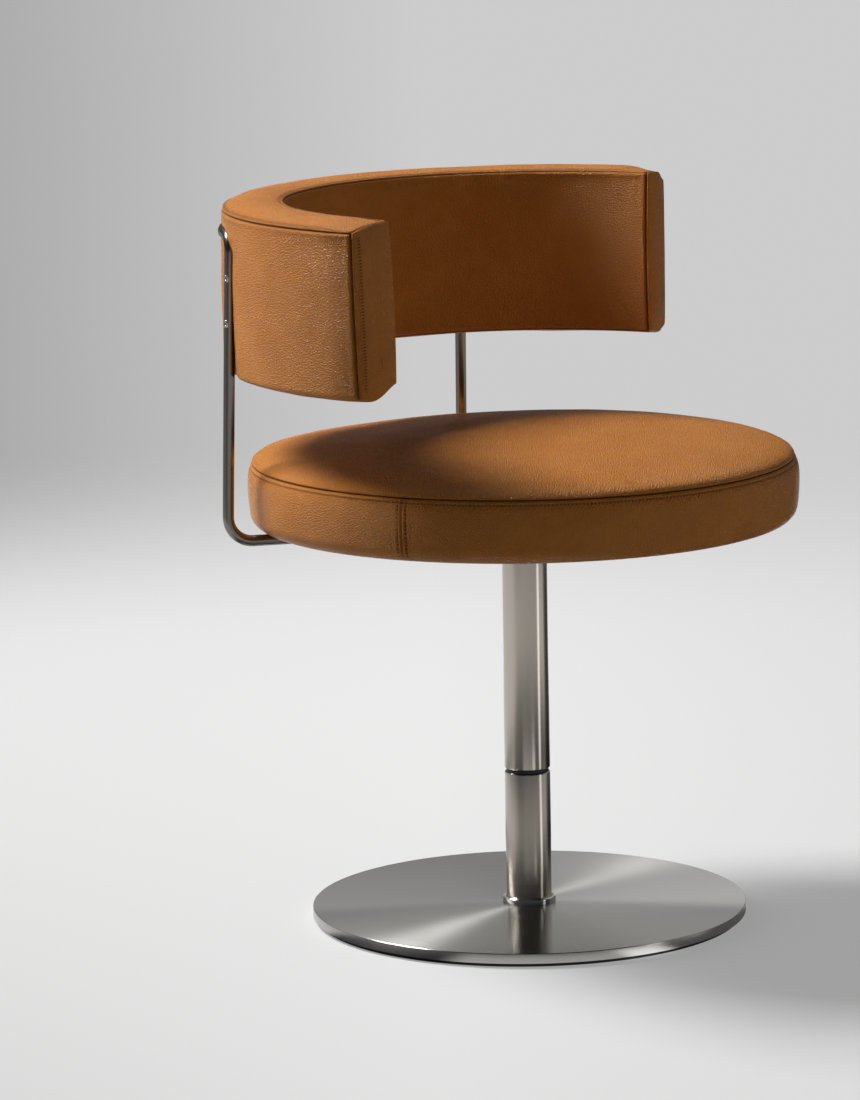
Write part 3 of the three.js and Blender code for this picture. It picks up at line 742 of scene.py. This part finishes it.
def seatBand():
    bm = bmesh.new()
    radius, inner, low, high = seat["radius"] - seat["slack"], seat["inner"], seat["low"], seat["seam"]
    roundOff = band["round"]
    points = [(inner, low), (radius - roundOff - band["flatEdge"], low)]
    for i in range(band["roundSteps"] + 1):
        a = -math.pi / 2 * (1 - i / band["roundSteps"])
        points.append((radius - roundOff + roundOff * math.cos(a), low + roundOff + roundOff * math.sin(a)))
    side = high - low - roundOff
    for place in graded(side, 4 * mm, [0.6 * mm * i for i in range(1, 14)])[1:]:
        over = max(0, 1 - (side - place) / band["rollHeight"])
        bulge = band["bulge"] * math.sin(math.pi * place / side)
        points.append((radius + bulge - seat["roll"] * over * over, low + roundOff + place))
    edge = radius - seat["roll"]
    points += [(edge - 1.5 * mm, high), (edge - 4 * mm, high - 0.4 * mm), (inner, high)]
    verts, edges = chain(bm, [(0, r, z) for r, z in points])
    aroundSeat(bm, edges)
    piece = makeObject("seat_side_leather", bm)

    def sew(co, normal):
        reach = co.xy.length
        if reach < edge - 3 * mm:
            return co, 0.0, 0.0, 0.0
        angle = math.atan2(co.x, co.y)
        drop = high - co.z
        out, seam, tuck, sewn = 0.0, 0.0, 0.0, 0.0
        if drop < band["seamReach"]:
            sewn = bell(drop - seat["sewn"], band["sewnWidth"])
            out += swell(drop, *band["puff"]) - band["sewnDepth"] * sewn - swell(drop, *band["groove"])
            # painted shade along the seam
            seam = swell(drop, *band["dark"])
            tuck = swell(drop, *band["tuck"])
        for join in seat["joins"]:
            across = (angle - join + math.pi) % (2 * math.pi) - math.pi
            gapHere = abs(across) * reach
            if gapHere < band["joinReach"]:
                beside = bell(gapHere - seat["joinSewn"], band["joinSewnWidth"])
                out -= swell(gapHere, *band["joinGroove"]) + band["joinSewnDepth"] * beside
                out += swell(gapHere, *band["joinPuff"])
                # painted shade at the join
                seam = max(seam, swell(gapHere, *band["joinPaintedShade"]))
                sewn = sewn if sewn > 0.3 else -beside
        out += waves(co, band["waves"]) * clamped((drop - band["waveFrom"]) / band["waveRun"])
        return co + Vector((co.x, co.y, 0)).normalized() * out, seam, tuck, sewn

    reshape(piece, sew)
    sharpShading(piece, 60)
    setPiece(piece, "seatLeather", "seat", "leather", "seat_band")
    return piece


def crownHeight(share, angle):  # the shoulder is rounder at the rear
    rear = bell(angle - crown["rearAngle"], crown["rearWidth"])
    return seat["crown"] * (1 - share ** (4.6 - 3.2 * rear)) ** (1 / 2.3)


def seatTop():
    bm = bmesh.new()
    low, radius = crown["foot"], crown["radius"]
    points = [(crown["pole"], low + seat["crown"])]
    for i in range(1, crown["rings"]):
        share = math.sin(math.pi / 2 * i / crown["rings"])
        points.append((radius * share, low + crownHeight(share, math.pi)))
    points.append((radius * 0.9993, low + 2 * mm))
    lowerEdge = ((0.1, 1.2), (0.6, 0.4), (1.6, 0), (6, 0))
    points += [(radius - inset * mm, low + rise * mm) for inset, rise in lowerEdge]
    points += [(radius * 0.5, low), (crown["pole"], low)]
    verts, edges = chain(bm, [(0, r, z) for r, z in points])
    aroundSeat(bm, edges)
    piece = makeObject("seat_top_leather", bm)

    def settle(co, normal):
        reach = co.xy.length
        if co.z < low + 0.2 * mm:
            return co, 1.0, 0.0, 0.0
        share = min(1, reach / radius)
        angle = math.atan2(co.x, co.y)
        edge = radius - reach
        if share < 0.999:
            lower = crownHeight(share, math.pi) - crownHeight(share, angle)
            co.z -= lower * min(1, (co.z - low) / (4 * mm))
        lift = waves(co, crown["waves"]) * clamped((1 - share) / crown["waveFade"])
        if edge < crown["rippleReach"]:
            beside = Vector((math.cos(angle) * crown["ripples"], math.sin(angle) * crown["ripples"], 2))
            lift += noise.noise(beside) * swell(edge, *crown["ripple"])
        # painted shade in the seam at the crown's foot
        seam = swell(co.z - low, *crown["dark"]) if edge < 3 * mm else 0.0
        return co + normal * lift, seam, swell(edge, *crown["tuck"]), 0.0

    reshape(piece, settle)
    sharpShading(piece, 60)
    setPiece(piece, "seatLeather", "seat", "leather", "seat_top")


foam = {"radius": 244.7 * mm, "low": 418.6 * mm, "high": 459.7 * mm, "edge": 3 * mm, "steps": 96}


def seatFoam():
    bm = bmesh.new()
    lathe(bm, plainRing(0, foam["radius"], foam["low"], foam["high"]), foam["steps"], False)
    softenEdges(bm, 45, foam["edge"], 3)
    piece = makeObject("seat_foam_block", bm)
    setPiece(piece, "foam", "seat", "seat_foam", "seat_foam")


def seatStitches(cover):
    rows = []
    height = seat["seam"] - seat["sewn"]
    radius = seat["radius"] - seat["slack"] - seat["roll"] / 2
    count = round(2 * math.pi * seat["radius"] / seat["pitch"])
    for i in range(count):
        angle = 2 * math.pi * i / count
        along = sideways(angle) + Vector((0, 0, random.uniform(-0.05, 0.05)))
        rows.append((polar(radius, angle, height), along, polar(1, angle, 0)))
    for join in seat["joins"]:
        for side in (-1, 1):
            angle = join + side * seat["joinSewn"] / seat["radius"]
            z = seat["low"] + 12 * mm
            while z < seat["seam"] - 7 * mm:
                rows.append((polar(seat["radius"], angle, z), Vector((0, 0, 1)), polar(1, angle, 0)))
                z += seat["pitch"]
    stitching("seat_stitching", rows, 2.6 * mm, 0.7 * mm, cover)


bandLeather = seatBand()
seatTop()
seatFoam()
seatStitches(bandLeather)
print("seat made")


# back: a padded arc in panels, seams along its four edges and a rounded end at each arm
back = {"forward": 15 * mm, "outer": rod["rail"] + 1.5 * mm, "depth": 61 * mm, "half": math.radians(88),
        "low": 555 * mm, "outerTop": 711 * mm, "innerTop": 717 * mm, "crest": 6 * mm, "sag": 4 * mm,
        "panel": 3 * mm, "endReach": 7 * mm, "endRound": 3 * mm, "endSwell": 3.5 * mm,
        "nearLean": 6 * mm, "leanRun": 90 * mm, "crestRun": 40 * mm, "crestDrop": 0.75,
        "turnRun": 26 * mm, "turnIn": 3 * mm, "farTurnIn": 16 * mm, "cornerDrop": 9 * mm, "farReach": 5 * mm,
        "pitch": 3 * mm, "stitches": 630, "sewn": 4.6 * mm, "endSewn": 7 * mm}
back["inner"] = back["outer"] - back["depth"]
back["middle"] = (back["inner"] + back["outer"]) / 2
# its seams, with swellings given by their height, their distance from the seam and their width; the dark ones
# are painted shade in the seams
backSeam = {"puff": (0.4 * mm, 3.4 * mm, 2 * mm), "groove": (2.1 * mm, 0, 1.1 * mm),
            "tuck": (0.7, 7 * mm, 2.4 * mm), "dark": 1.1 * mm, "sewnWidth": 1.5 * mm, "sewnDepth": 0.4 * mm,
            "endPuff": (0.35 * mm, 3.2 * mm, 1.8 * mm), "endPaintedShade": (0.8, 0, 0.8 * mm),
            "endSewnWidth": 1.6 * mm,
            "waves": [(11, 0.9 * mm, (5, 2, 1)), (34, 0.4 * mm, (0, 0, 0))], "waveRun": 15 * mm}
# the leather beside and under the rod, the same way, with painted shade in the crease beside it
press = {"gap": 0.3 * mm, "puff": (0.5 * mm, 3 * mm, 3.5 * mm), "crease": (1.6 * mm, 0, 1.3 * mm),
         "dark": (0.8, 0, 2.2 * mm), "reach": 16 * mm, "valley": 5.5 * mm, "valleyWidth": 20 * mm,
         "valleyReach": 60 * mm, "below": 20 * mm}


def backPanels():  # control points of each panel's curve, in radius and height
    low, top, inTop, ri, ro = back["low"], back["outerTop"], back["innerTop"], back["inner"], back["outer"]
    centre, half = back["middle"], (back["low"] + back["outerTop"]) / 2
    return [
        [(ri, low), (centre, low - 2 * back["sag"]), (ro, low)],
        [(ro, low), (ro + back["panel"], half), (ro, top)],
        [(ro, top), (ro - back["depth"] / 12, top + 2 * back["crest"]),
         (ri + back["depth"] / 4, inTop + back["crest"]), (ri, inTop)],
        [(ri, inTop), (ri - 2 * back["panel"], half), (ri, low)],
    ]


def backSection():
    hold = (1.2 * mm, 2.4 * mm, 3.6 * mm, 4.6 * mm, 5.6 * mm, 7.5 * mm)
    rail = (rod["railHeight"] - back["low"], 12 * mm, 2.2 * mm)
    lengths = [back["depth"], back["outerTop"] - back["low"], back["depth"], back["innerTop"] - back["low"]]
    points = []
    for index, (controls, length) in enumerate(zip(backPanels(), lengths)):
        zones = [rail] if index == 1 else []
        for place in graded(length, 8 * mm, hold, zones)[:-1]:
            toSoft = length - place if index == 0 else place if index == 1 else length
            if not 0 < toSoft < 5 * mm:
                points.append(curvePoint(controls, place / length))
    return points


def backCover():
    bm = bmesh.new()
    section = backSection()
    ringLength = 2 * back["half"] * back["middle"]
    span = ringLength - 2 * back["endReach"]
    frameMark = rod["angle"] * back["middle"]
    zones = [(span / 2 - frameMark, 12 * mm, 2.2 * mm), (span / 2 + frameMark, 12 * mm, 2.2 * mm)]
    stations = graded(span, 8 * mm, (1.2 * mm, 2.6 * mm, 5 * mm), zones)
    startAngle = -span / 2 / back["middle"]
    verts, edges = chain(bm, [polar(r, startAngle, z, back["forward"]) for r, z in section])
    firstEdges = list(edges)
    pivot = (0, -back["forward"], 0)
    for a, b in zip(stations, stations[1:]):
        verts, edges = growRing(bm, edges)
        turn = Matrix.Rotation((a - b) / back["middle"], 3, "Z")
        bmesh.ops.rotate(bm, cent=pivot, matrix=turn, verts=verts)
    halfHeight = (back["innerTop"] - back["low"]) / 2
    for side, ring in ((-1, firstEdges), (1, edges)):
        angle = side * span / 2 / back["middle"]
        along = sideways(angle) * side
        centre = polar(back["middle"], angle, back["low"] + halfHeight, back["forward"])
        space = Matrix((polar(1, angle, 0), along, Vector((0, 0, 1)))).to_4x4() @ Matrix.Translation(-centre)
        shape = [(back["endRound"] * (1 - math.cos(a)), back["endRound"] * math.sin(a))
                 for a in (math.radians(d) for d in (11, 30, 52, 75, 90))]
        shape += [(inset * mm, back["endRound"]) for inset in (4.2, 6, 9, 13, 18, 23, 28)]
        wide, tall, far = 1.0, 1.0, 0.0
        for inset, reach in shape:
            nextWide, nextTall = 1 - inset / (back["depth"] / 2), 1 - inset / halfHeight
            verts, ring = growRing(bm, ring)
            bmesh.ops.scale(bm, vec=(nextWide / wide, 1, nextTall / tall), space=space, verts=verts)
            bmesh.ops.translate(bm, vec=along * (reach - far), verts=verts)
            wide, tall, far = nextWide, nextTall, reach
        bmesh.ops.edgeloop_fill(bm, edges=ring)
    bmesh.ops.recalc_face_normals(bm, faces=bm.faces)
    return subdivided(makeObject("back_leather", bm), 1)


def rodFinder():  # a search tree of the rod's centre line
    tree = kdtree.KDTree(len(rodSpine))
    for index, point in enumerate(rodSpine):
        tree.insert(point, index)
    tree.balance()
    return tree


def nearSpine(point, tree):  # nearest point of the rod's centre line
    middle = tree.find(point)[1]
    best, spot = 1.0, None
    for index in range(max(0, middle - 1), min(len(rodSpine) - 1, middle + 1)):
        a, b = rodSpine[index], rodSpine[index + 1]
        ab = b - a
        share = min(1, max(0, (point - a).dot(ab) / ab.length_squared))
        q = a + ab * share
        if (q - point).length < best:
            best, spot = (q - point).length, q
    return best, spot


def pressedByRod(moved, away, tree):  # the leather under the rod is flat, with a crease, painted shade and a puff beside it
    gap, spot = nearSpine(moved, tree)
    if gap >= press["reach"]:
        return moved, 0.0
    half = rod["radius"] + press["gap"]
    offset = moved - spot
    high = offset.dot(away)
    flat = offset - away * high
    aside = flat.length
    if aside < half:
        high = min(high, -math.sqrt(half * half - aside * aside))
    else:
        high += swell(aside - half, *press["puff"]) - swell(aside - half, *press["crease"])
    return spot + flat + away * high, swell(max(0, aside - half * 0.6), *press["dark"])


def endShape(moved, angle, past, u, v):  # how the arms turn in, lean and swell at their ends
    if past > -back["turnRun"]:
        near = min(1, 1 + past / back["turnRun"])
        share = eased(clamped((u + 0.2) / 1.2))
        turnIn = back["farTurnIn"] if angle > 0 else back["turnIn"]
        moved -= polar(1, angle, 0) * turnIn * near * near * share
        inward = eased(clamped((0.7 - u) / 1.7))
        if angle > 0:
            outward = (1 + max(-1, min(1, u))) / 2
            moved.z -= back["cornerDrop"] * near * near * outward ** 3 * clamped(v * 2 - 1) ** 2
            moved += sideways(angle) * back["farReach"] * near * near * inward
        else:
            moved.z += back["cornerDrop"] * near * near * inward * inward * clamped(-v * 2 - 1) ** 2
    forwards = sideways(angle) * math.copysign(1, angle)
    if angle < 0 and past > -back["leanRun"]:
        share = min(1, 1 + past / back["leanRun"])
        moved += forwards * back["nearLean"] * (0.5 - 0.5 * v) * share * share
    if past > back["endRound"] * 0.3:
        pillow = max(0, 1 - abs(u) ** 3.5) * max(0, 1 - abs(v) ** 5)
        moved += forwards * back["endSwell"] * pillow
    return moved


def dressBack(piece):
    corners = [Vector((back["inner"], back["low"])), Vector((back["outer"], back["outerTop"])),
               Vector((back["inner"], back["innerTop"]))]
    turnEnd = back["half"] - back["endReach"] / back["middle"]
    swellMiddle = (back["low"] + back["innerTop"]) / 2
    tree = rodFinder()

    def dress(co, normal):
        flat = Vector((co.x, co.y + back["forward"]))
        radius, angle = flat.length, math.atan2(flat.x, flat.y)
        past = (abs(angle) - turnEnd) * back["middle"]
        # u runs from the inner face to the outer one, v from the low edge to the top, both from -1 to 1
        u = (radius - back["middle"]) / (back["depth"] / 2)
        v = (co.z - swellMiddle) / ((back["innerTop"] - back["low"]) / 2)
        chord = back["innerTop"] + (back["outerTop"] - back["innerTop"]) * (u + 1) / 2
        gapHere = min((Vector((radius, co.z)) - c).length for c in corners)
        out, seam, tuck, sewn = 0.0, 0.0, 0.0, 0.0
        if past < 0.5 * mm:
            out += swell(gapHere, *backSeam["puff"]) - swell(gapHere, *backSeam["groove"])
            # painted shade in the seam groove
            seam = bell(gapHere, backSeam["dark"])
            tuck = swell(gapHere, *backSeam["tuck"])
            if co.z > chord + 0.4 * mm and past < -3 * mm:
                sewn = bell(gapHere - back["sewn"], backSeam["sewnWidth"])
                out -= backSeam["sewnDepth"] * sewn
        if co.z > back["low"] + 2 * mm and past < back["endRound"] * 0.8:
            out += swell(abs(past), *backSeam["endPuff"]) - swell(past, *backSeam["groove"])
            # painted shade in the end seam
            seam = max(seam, swell(past, *backSeam["endPaintedShade"]))
        if past > back["endRound"] * 0.8 and abs(v) < 0.9:
            sewn = -bell(back["outer"] - back["endSewn"] - radius, backSeam["endSewnWidth"])
        seamDistance = min(gapHere, abs(past) + mm)
        out += waves(co, backSeam["waves"]) * min(1, seamDistance / backSeam["waveRun"])
        moved = co + normal * out
        # the crest flattens towards the end seams
        if co.z > chord and -1 < u < 1:
            moved.z -= (co.z - chord) * back["crestDrop"] * (1 - eased(clamped(-past / back["crestRun"])))
        moved = endShape(moved, angle, past, u, v)
        beside = (abs(angle) - rod["angle"]) * radius
        low = co.z < rod["railHeight"] - press["below"]
        if radius < back["middle"] or abs(beside) > press["valleyReach"] and low:
            return moved, seam, tuck, sewn
        # the leather is drawn in beside the uprights and pressed flat under the rod, with painted shade
        # beside it
        away = Vector((flat.x, flat.y, 0)).normalized()
        bend = clamped((rod["railHeight"] - co.z) / rod["topBend"])
        valley = press["valley"] * bell(beside, press["valleyWidth"])
        moved, dark = pressedByRod(moved - away * valley * bend * clamped(u * 2 - 0.6), away, tree)
        return moved, max(seam, dark), tuck, sewn

    reshape(piece, dress)
    sharpShading(piece, 75)
    setPiece(piece, "backLeather", "seat", "leather", "back_inner_pad", "back_outer_pad")


def panelSpot(panel, share):  # a point on a panel's curve, and the curve's direction there
    controls = backPanels()[panel]
    spot = curvePoint(controls, share)
    return spot, (curvePoint(controls, share + 0.01) - spot).normalized()


def panelRow(panel, inset, fromStart, turnEnd):  # stitches along a panel's edge, round the arc
    length = back["depth"] if panel in (0, 2) else back["outerTop"] - back["low"]
    spot, slope = panelSpot(panel, inset / length if fromStart else 1 - inset / length)
    lift = Vector((slope.y, -slope.x))  # out of the section
    spot = spot - lift * 0.05 * mm
    spacing = 2 * math.pi / back["stitches"]
    reach = int(turnEnd / spacing)
    rows = []
    for i in range(-reach, reach + 1):
        angle = i * spacing
        place = polar(spot.x, angle, spot.y, back["forward"])
        rows.append((place, sideways(angle), polar(1, angle, 0) * lift.x + Vector((0, 0, lift.y))))
    return rows


def endRows(side):  # stitches across the top, just before the end seam, and down the end panel
    rows = []
    seamAngle = side * (back["half"] - back["endReach"] / back["middle"])
    angle = seamAngle - side * back["sewn"] / back["middle"]
    outward = polar(1, angle, 0)
    margin = 5 * mm
    count = int((back["depth"] - 2 * margin) / back["pitch"])
    for i in range(count + 1):
        share = (margin + (back["depth"] - 2 * margin) * i / count) / back["depth"]
        spot, slope = panelSpot(2, share)
        along = outward * slope.x + Vector((0, 0, slope.y))
        lift = outward * -slope.y + Vector((0, 0, abs(slope.x)))
        rows.append((polar(spot.x, angle, spot.y, back["forward"]), along, lift))
    z = back["low"] + 7 * mm
    along = sideways(seamAngle) * side
    while z < back["outerTop"] - 5 * mm:
        spot = polar(back["outer"] - back["endSewn"], seamAngle, z, back["forward"])
        rows.append((spot + along * (back["endRound"] + back["endSwell"]), Vector((0, 0, 1)), along))
        z += back["pitch"]
    return rows


def backStitches(cover):
    turnEnd = back["half"] - (back["endReach"] + 4 * mm) / back["middle"]
    rows = panelRow(2, back["sewn"], True, turnEnd) + panelRow(2, back["sewn"], False, turnEnd)
    for side in (-1, 1):
        rows += endRows(side)
    stitching("back_stitching", rows, 2.1 * mm, 0.65 * mm, cover)


backLeather = backCover()
dressBack(backLeather)
backStitches(backLeather)
print("back made")


# nodes that stay as they are get their finish
kept = {
    "zinc": ["base_bolt", "base_washer", "locating_pin", "foot_plug", "spindle_sleeve", "spindle",
             "spindle_washer", "retaining_clip", "seat_plate"]
    + [f"{kind}_{i}" for kind in ("seat_screw", "tee_nut", "back_insert") for i in range(1, 5)],
    "acetal": ["lower_bush", "upper_bush"],
    "ply": ["seat_board", "back_core"],
    "lining": ["bottom_cover"],
}
for finish, names in kept.items():
    for name in names:
        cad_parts[name].data.materials.clear()
        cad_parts[name].data.materials.append(finishes[finish])


# studio: a pale floor, a soft key behind the left shoulder, a weak fill in front and two low cards
studio = {
    "floorRadius": 60, "floorNear": 0.725, "floorFar": 0.607, "floorLeast": 0.36,
    "glowShare": 0.49, "glowReach": (1.5, 3.2), "shade": 2.3, "shadeEnd": (0.09, 0.15),
    "toward": (-0.08, 0.997), "bounceFront": 0.185, "bounceBack": 0.42, "bounceTurn": (0.0, 0.9),
    "key": {"toward": (-0.1, 0.62, 0.78), "aim": (0, 0, 0.3), "distance": 5.0, "size": 1.6, "power": 415},
    "fill": {"place": (0.4, -3.0, 0.35), "target": (0, 0, 0.5), "wide": 1.2, "tall": 0.8, "power": 17},
    "cards": [{"turn": math.radians(16.5), "power": 0.28}, {"turn": math.radians(46.5), "power": 0.16}],
    "cardReach": 1.05, "cardWide": 0.55, "cardTall": 0.3,
}
# what steel mirrors of the floor, a painted glow with painted shade and highlights: directions from the
# column, levels, and the steps each part fades over
mirror = {
    "front": 0.55, "back": 0.78, "turn": (-1.1, 1.2), "behind": (0.2, 0.7),
    "side": (0.47, -0.883), "sideWidth": (0.94, 1.0), "sideFrom": (0.6, 1.0), "sideLevel": 0.2,
    "flag": (0.966, -0.259), "flagWidth": (0.82, 0.98), "flagDark": 0.9,
    "past": (1.1, 2.2), "pastDark": 0.7,
    "plateEdge": (0.3, 0.42), "ringFrom": 0.45, "ringTo": 0.85, "ringBehind": 0.35, "ringDark": 0.85,
    "streak": (0.165, -0.986), "streakWidth": (0.991, 0.9985), "streakLevel": 1.25,
    "streakFrom": (0.27, 0.33), "streakTo": (1.9, 2.7), "besideStreak": (0.82, 0.93), "besideDark": 0.8,
    "left": (-0.97, 0.24), "leftWidth": (0.88, 0.95), "leftDark": 0.93,
    "rim": (-0.417, -0.909), "rimWidth": (0.984, 0.997), "rimLevel": 0.9,
    "far": (2.2, 3.0), "farBehind": (0.1, 0.5), "farDark": 0.6, "farFront": (-0.5, 0.2), "farLevel": 0.5,
}
# the sky: what lights the chair, and the panel and the streak that steel mirrors
sky = {
    "dark": 0.04, "bright": 1.3, "brightWidth": (0.3, 1.0), "brightTop": (0.3, 0.8),
    "panel": 0.42, "panelWay": (0.85, 0.53), "panelWidth": (0.0, 0.4), "panelFrom": (0.15, 0.42),
    "panelTo": (0.75, 1.0), "streakTop": (0.3, 0.5), "streakLevel": 1.5,
}


def facing(x, y, length, way):  # 1 for places in this direction, -1 for those opposite
    return (x * way[0] + y * way[1]) / length


def seenFloor(s, x, y, reach):  # lit near the chair, where about half of it glows and so lightens the chair's shadow, a steady glowing grey far from it, and painted shade at the left
    around = math.radians(shot["azimuth"])
    cameraX, cameraY = math.sin(around) * shot["distance"], -math.cos(around) * shot["distance"]
    heading = around + math.radians(shot["yaw"])
    ahead = (x - cameraX) * -math.sin(heading) + (y - cameraY) * math.cos(heading)
    aside = (x - cameraX) * math.cos(heading) + (y - cameraY) * math.sin(heading)
    # painted shade: the glow is darker to the left of the fitted camera's view, fixed in place on the floor
    leftward = s.math("MAXIMUM", 0, aside / s.math("MAXIMUM", 0.5, ahead) * -1.0)
    shade = leftward * (1 - s.step(leftward, *studio["shadeEnd"])) * studio["shade"]
    level = s.math("MAXIMUM", studio["floorLeast"], studio["floorFar"] - shade)
    glow = s.node("Emission", None, {0: s.grey(level), 1: 1.0})
    lit = s.node("BsdfDiffuse", None, {0: (studio["floorNear"],) * 3 + (1,)})
    far = s.step(reach, *studio["glowReach"]) * (1 - studio["glowShare"]) + studio["glowShare"]
    return s.node("MixShader", None, {0: far, 1: lit, 2: glow})


def mirroredFloor(s, x, y, reach, toBack):  # a painted glow seen only in reflections: paler behind, a narrow bright streak, painted shade at the patch called flag and by the plate
    toFlag, toStreak, toSide, toRim, toLeft = (
        facing(x, y, reach + 0.0005, mirror[way]) for way in ("flag", "streak", "side", "rim", "left"))
    backed = s.step(toBack, *mirror["behind"])
    level = mirror["front"] + s.step(toBack, *mirror["turn"]) * (mirror["back"] - mirror["front"])
    side = s.step(toSide, *mirror["sideWidth"]) * s.step(reach, *mirror["sideFrom"])
    level = level + side * mirror["sideLevel"]
    level = level * (1 - s.step(toFlag, *mirror["flagWidth"]) * mirror["flagDark"])
    level = level * (1 - s.step(reach, *mirror["past"]) * (1 - backed) * mirror["pastDark"])
    # painted shade: a dark ring round the plate, narrower behind
    ringEnd = s.step(reach, mirror["ringFrom"], mirror["ringTo"] - backed * mirror["ringBehind"])
    level = level * (1 - s.step(reach, *mirror["plateEdge"]) * (1 - ringEnd) * mirror["ringDark"])
    # close to the plate: painted shade beside the streak and at the left, with one painted glow that the rim
    # mirrors as a highlight
    close = 1 - s.step(reach, *mirror["plateEdge"])
    level = level * (1 - close * s.step(toStreak, *mirror["besideStreak"]) * mirror["besideDark"])
    level = level * (1 - close * s.step(toLeft, *mirror["leftWidth"]) * mirror["leftDark"])
    level = level + close * s.step(toRim, *mirror["rimWidth"]) * mirror["rimLevel"]
    farther = s.step(reach, *mirror["far"])
    level = level * (1 - farther * s.step(toBack, *mirror["farBehind"]) * mirror["farDark"])
    level = level + farther * (1 - s.step(toBack, *mirror["farFront"])) * mirror["farLevel"]
    reached = s.step(reach, *mirror["streakFrom"]) * (1 - s.step(reach, *mirror["streakTo"]))
    level = level + s.step(toStreak, *mirror["streakWidth"]) * reached * mirror["streakLevel"]
    return s.node("Emission", None, {0: s.grey(level), 1: 1.0})


def floorFinish():
    material, s = newFinish("studio_floor")
    x, y, z = s.parts(s.place())
    reach = s.flatLength(x, y)
    toBack = facing(x, y, reach + 0.05, studio["toward"])
    bounceBack = s.step(toBack, *studio["bounceTurn"]) * (studio["bounceBack"] - studio["bounceFront"])
    dim = s.node("BsdfDiffuse", None, {0: s.grey(studio["bounceFront"] + bounceBack)})
    mirrored = mirroredFloor(s, x, y, reach, toBack)
    path = s.node("LightPath").socket.node
    direct = s.clamp(Wire(s, path.outputs["Is Camera Ray"]) + Wire(s, path.outputs["Is Transmission Ray"]))
    glossy = Wire(s, path.outputs["Is Glossy Ray"])
    unseen = s.node("MixShader", None, {0: glossy, 1: dim, 2: mirrored})
    seen = seenFloor(s, x, y, reach)
    s.node("OutputMaterial", None, {0: s.node("MixShader", None, {0: direct, 1: unseen, 2: seen})})
    return material


def studioFloor():
    bm = bmesh.new()
    bmesh.ops.create_circle(bm, cap_ends=True, radius=studio["floorRadius"], segments=64)
    piece = makeObject("studio_floor", bm)
    piece.data.materials.append(floorFinish())


def areaLight(name, place, target, wide, tall, power):
    lamp = bpy.data.lights.new(name, "AREA")
    lamp.shape, lamp.size, lamp.size_y = "RECTANGLE", wide, tall
    lamp.energy = power
    holder = bpy.data.objects.new(name, lamp)
    bpy.context.scene.collection.objects.link(holder)
    holder.location = place
    holder.rotation_euler = (Vector(target) - Vector(place)).to_track_quat("-Z", "Y").to_euler()
    holder.visible_camera = False
    return holder


def studioWorld():
    world = bpy.data.worlds.new("studio_world")
    bpy.context.scene.world = world
    world.use_nodes = True
    s = Sheet(world.node_tree)
    x, y, z = s.parts(s.node("TexCoord", out=0))
    flat = s.flatLength(x, y) + 0.001
    behind = facing(x, y, flat, studio["toward"])
    glow = s.step(behind, *sky["brightWidth"]) * (1 - s.step(z, *sky["brightTop"]))
    level = sky["dark"] + glow * (sky["bright"] - sky["dark"])
    beyond = facing(x, y, flat, sky["panelWay"])
    toStreak = facing(x, y, flat, mirror["streak"])
    panel = sky["panel"] * s.step(beyond, *sky["panelWidth"])
    panel = panel * s.step(z, *sky["panelFrom"]) * (1 - s.step(z, *sky["panelTo"]))
    streak = s.step(toStreak, *mirror["streakWidth"]) * (1 - s.step(z, *sky["streakTop"]))
    panel = panel + streak * sky["streakLevel"] + sky["dark"]
    path = s.node("LightPath").socket.node
    camera = Wire(s, path.outputs["Is Camera Ray"])
    glossy = Wire(s, path.outputs["Is Glossy Ray"])
    unseen = level * (1 - glossy) + panel * glossy
    tone = unseen * (1 - camera) + camera * studio["floorFar"]
    s.node("OutputWorld", None, {0: s.node("Background", None, {0: s.grey(tone), 1: 1.0})})


studioFloor()
studioWorld()
key, fill = studio["key"], studio["fill"]
keyPlace = Vector(key["toward"]).normalized() * key["distance"] + Vector(key["aim"])
areaLight("key", keyPlace, key["aim"], key["size"], key["size"], key["power"])
fillLamp = areaLight("fill", fill["place"], fill["target"], fill["wide"], fill["tall"], fill["power"])
fillLamp.visible_glossy = False
# low cards behind the foot: steel mirrors them, and the seat hides them from its own top
for index, card in enumerate(studio["cards"]):
    place = Vector((math.cos(card["turn"]), math.sin(card["turn"]), 0)) * studio["cardReach"]
    place.z = studio["cardTall"] / 2
    cardLamp = areaLight(
        f"card_{index + 1}", place, (0, 0, place.z), studio["cardWide"], studio["cardTall"], card["power"])
    cardLamp.visible_diffuse = False
bpy.context.scene.view_settings.view_transform = "Standard"
print("studio set")
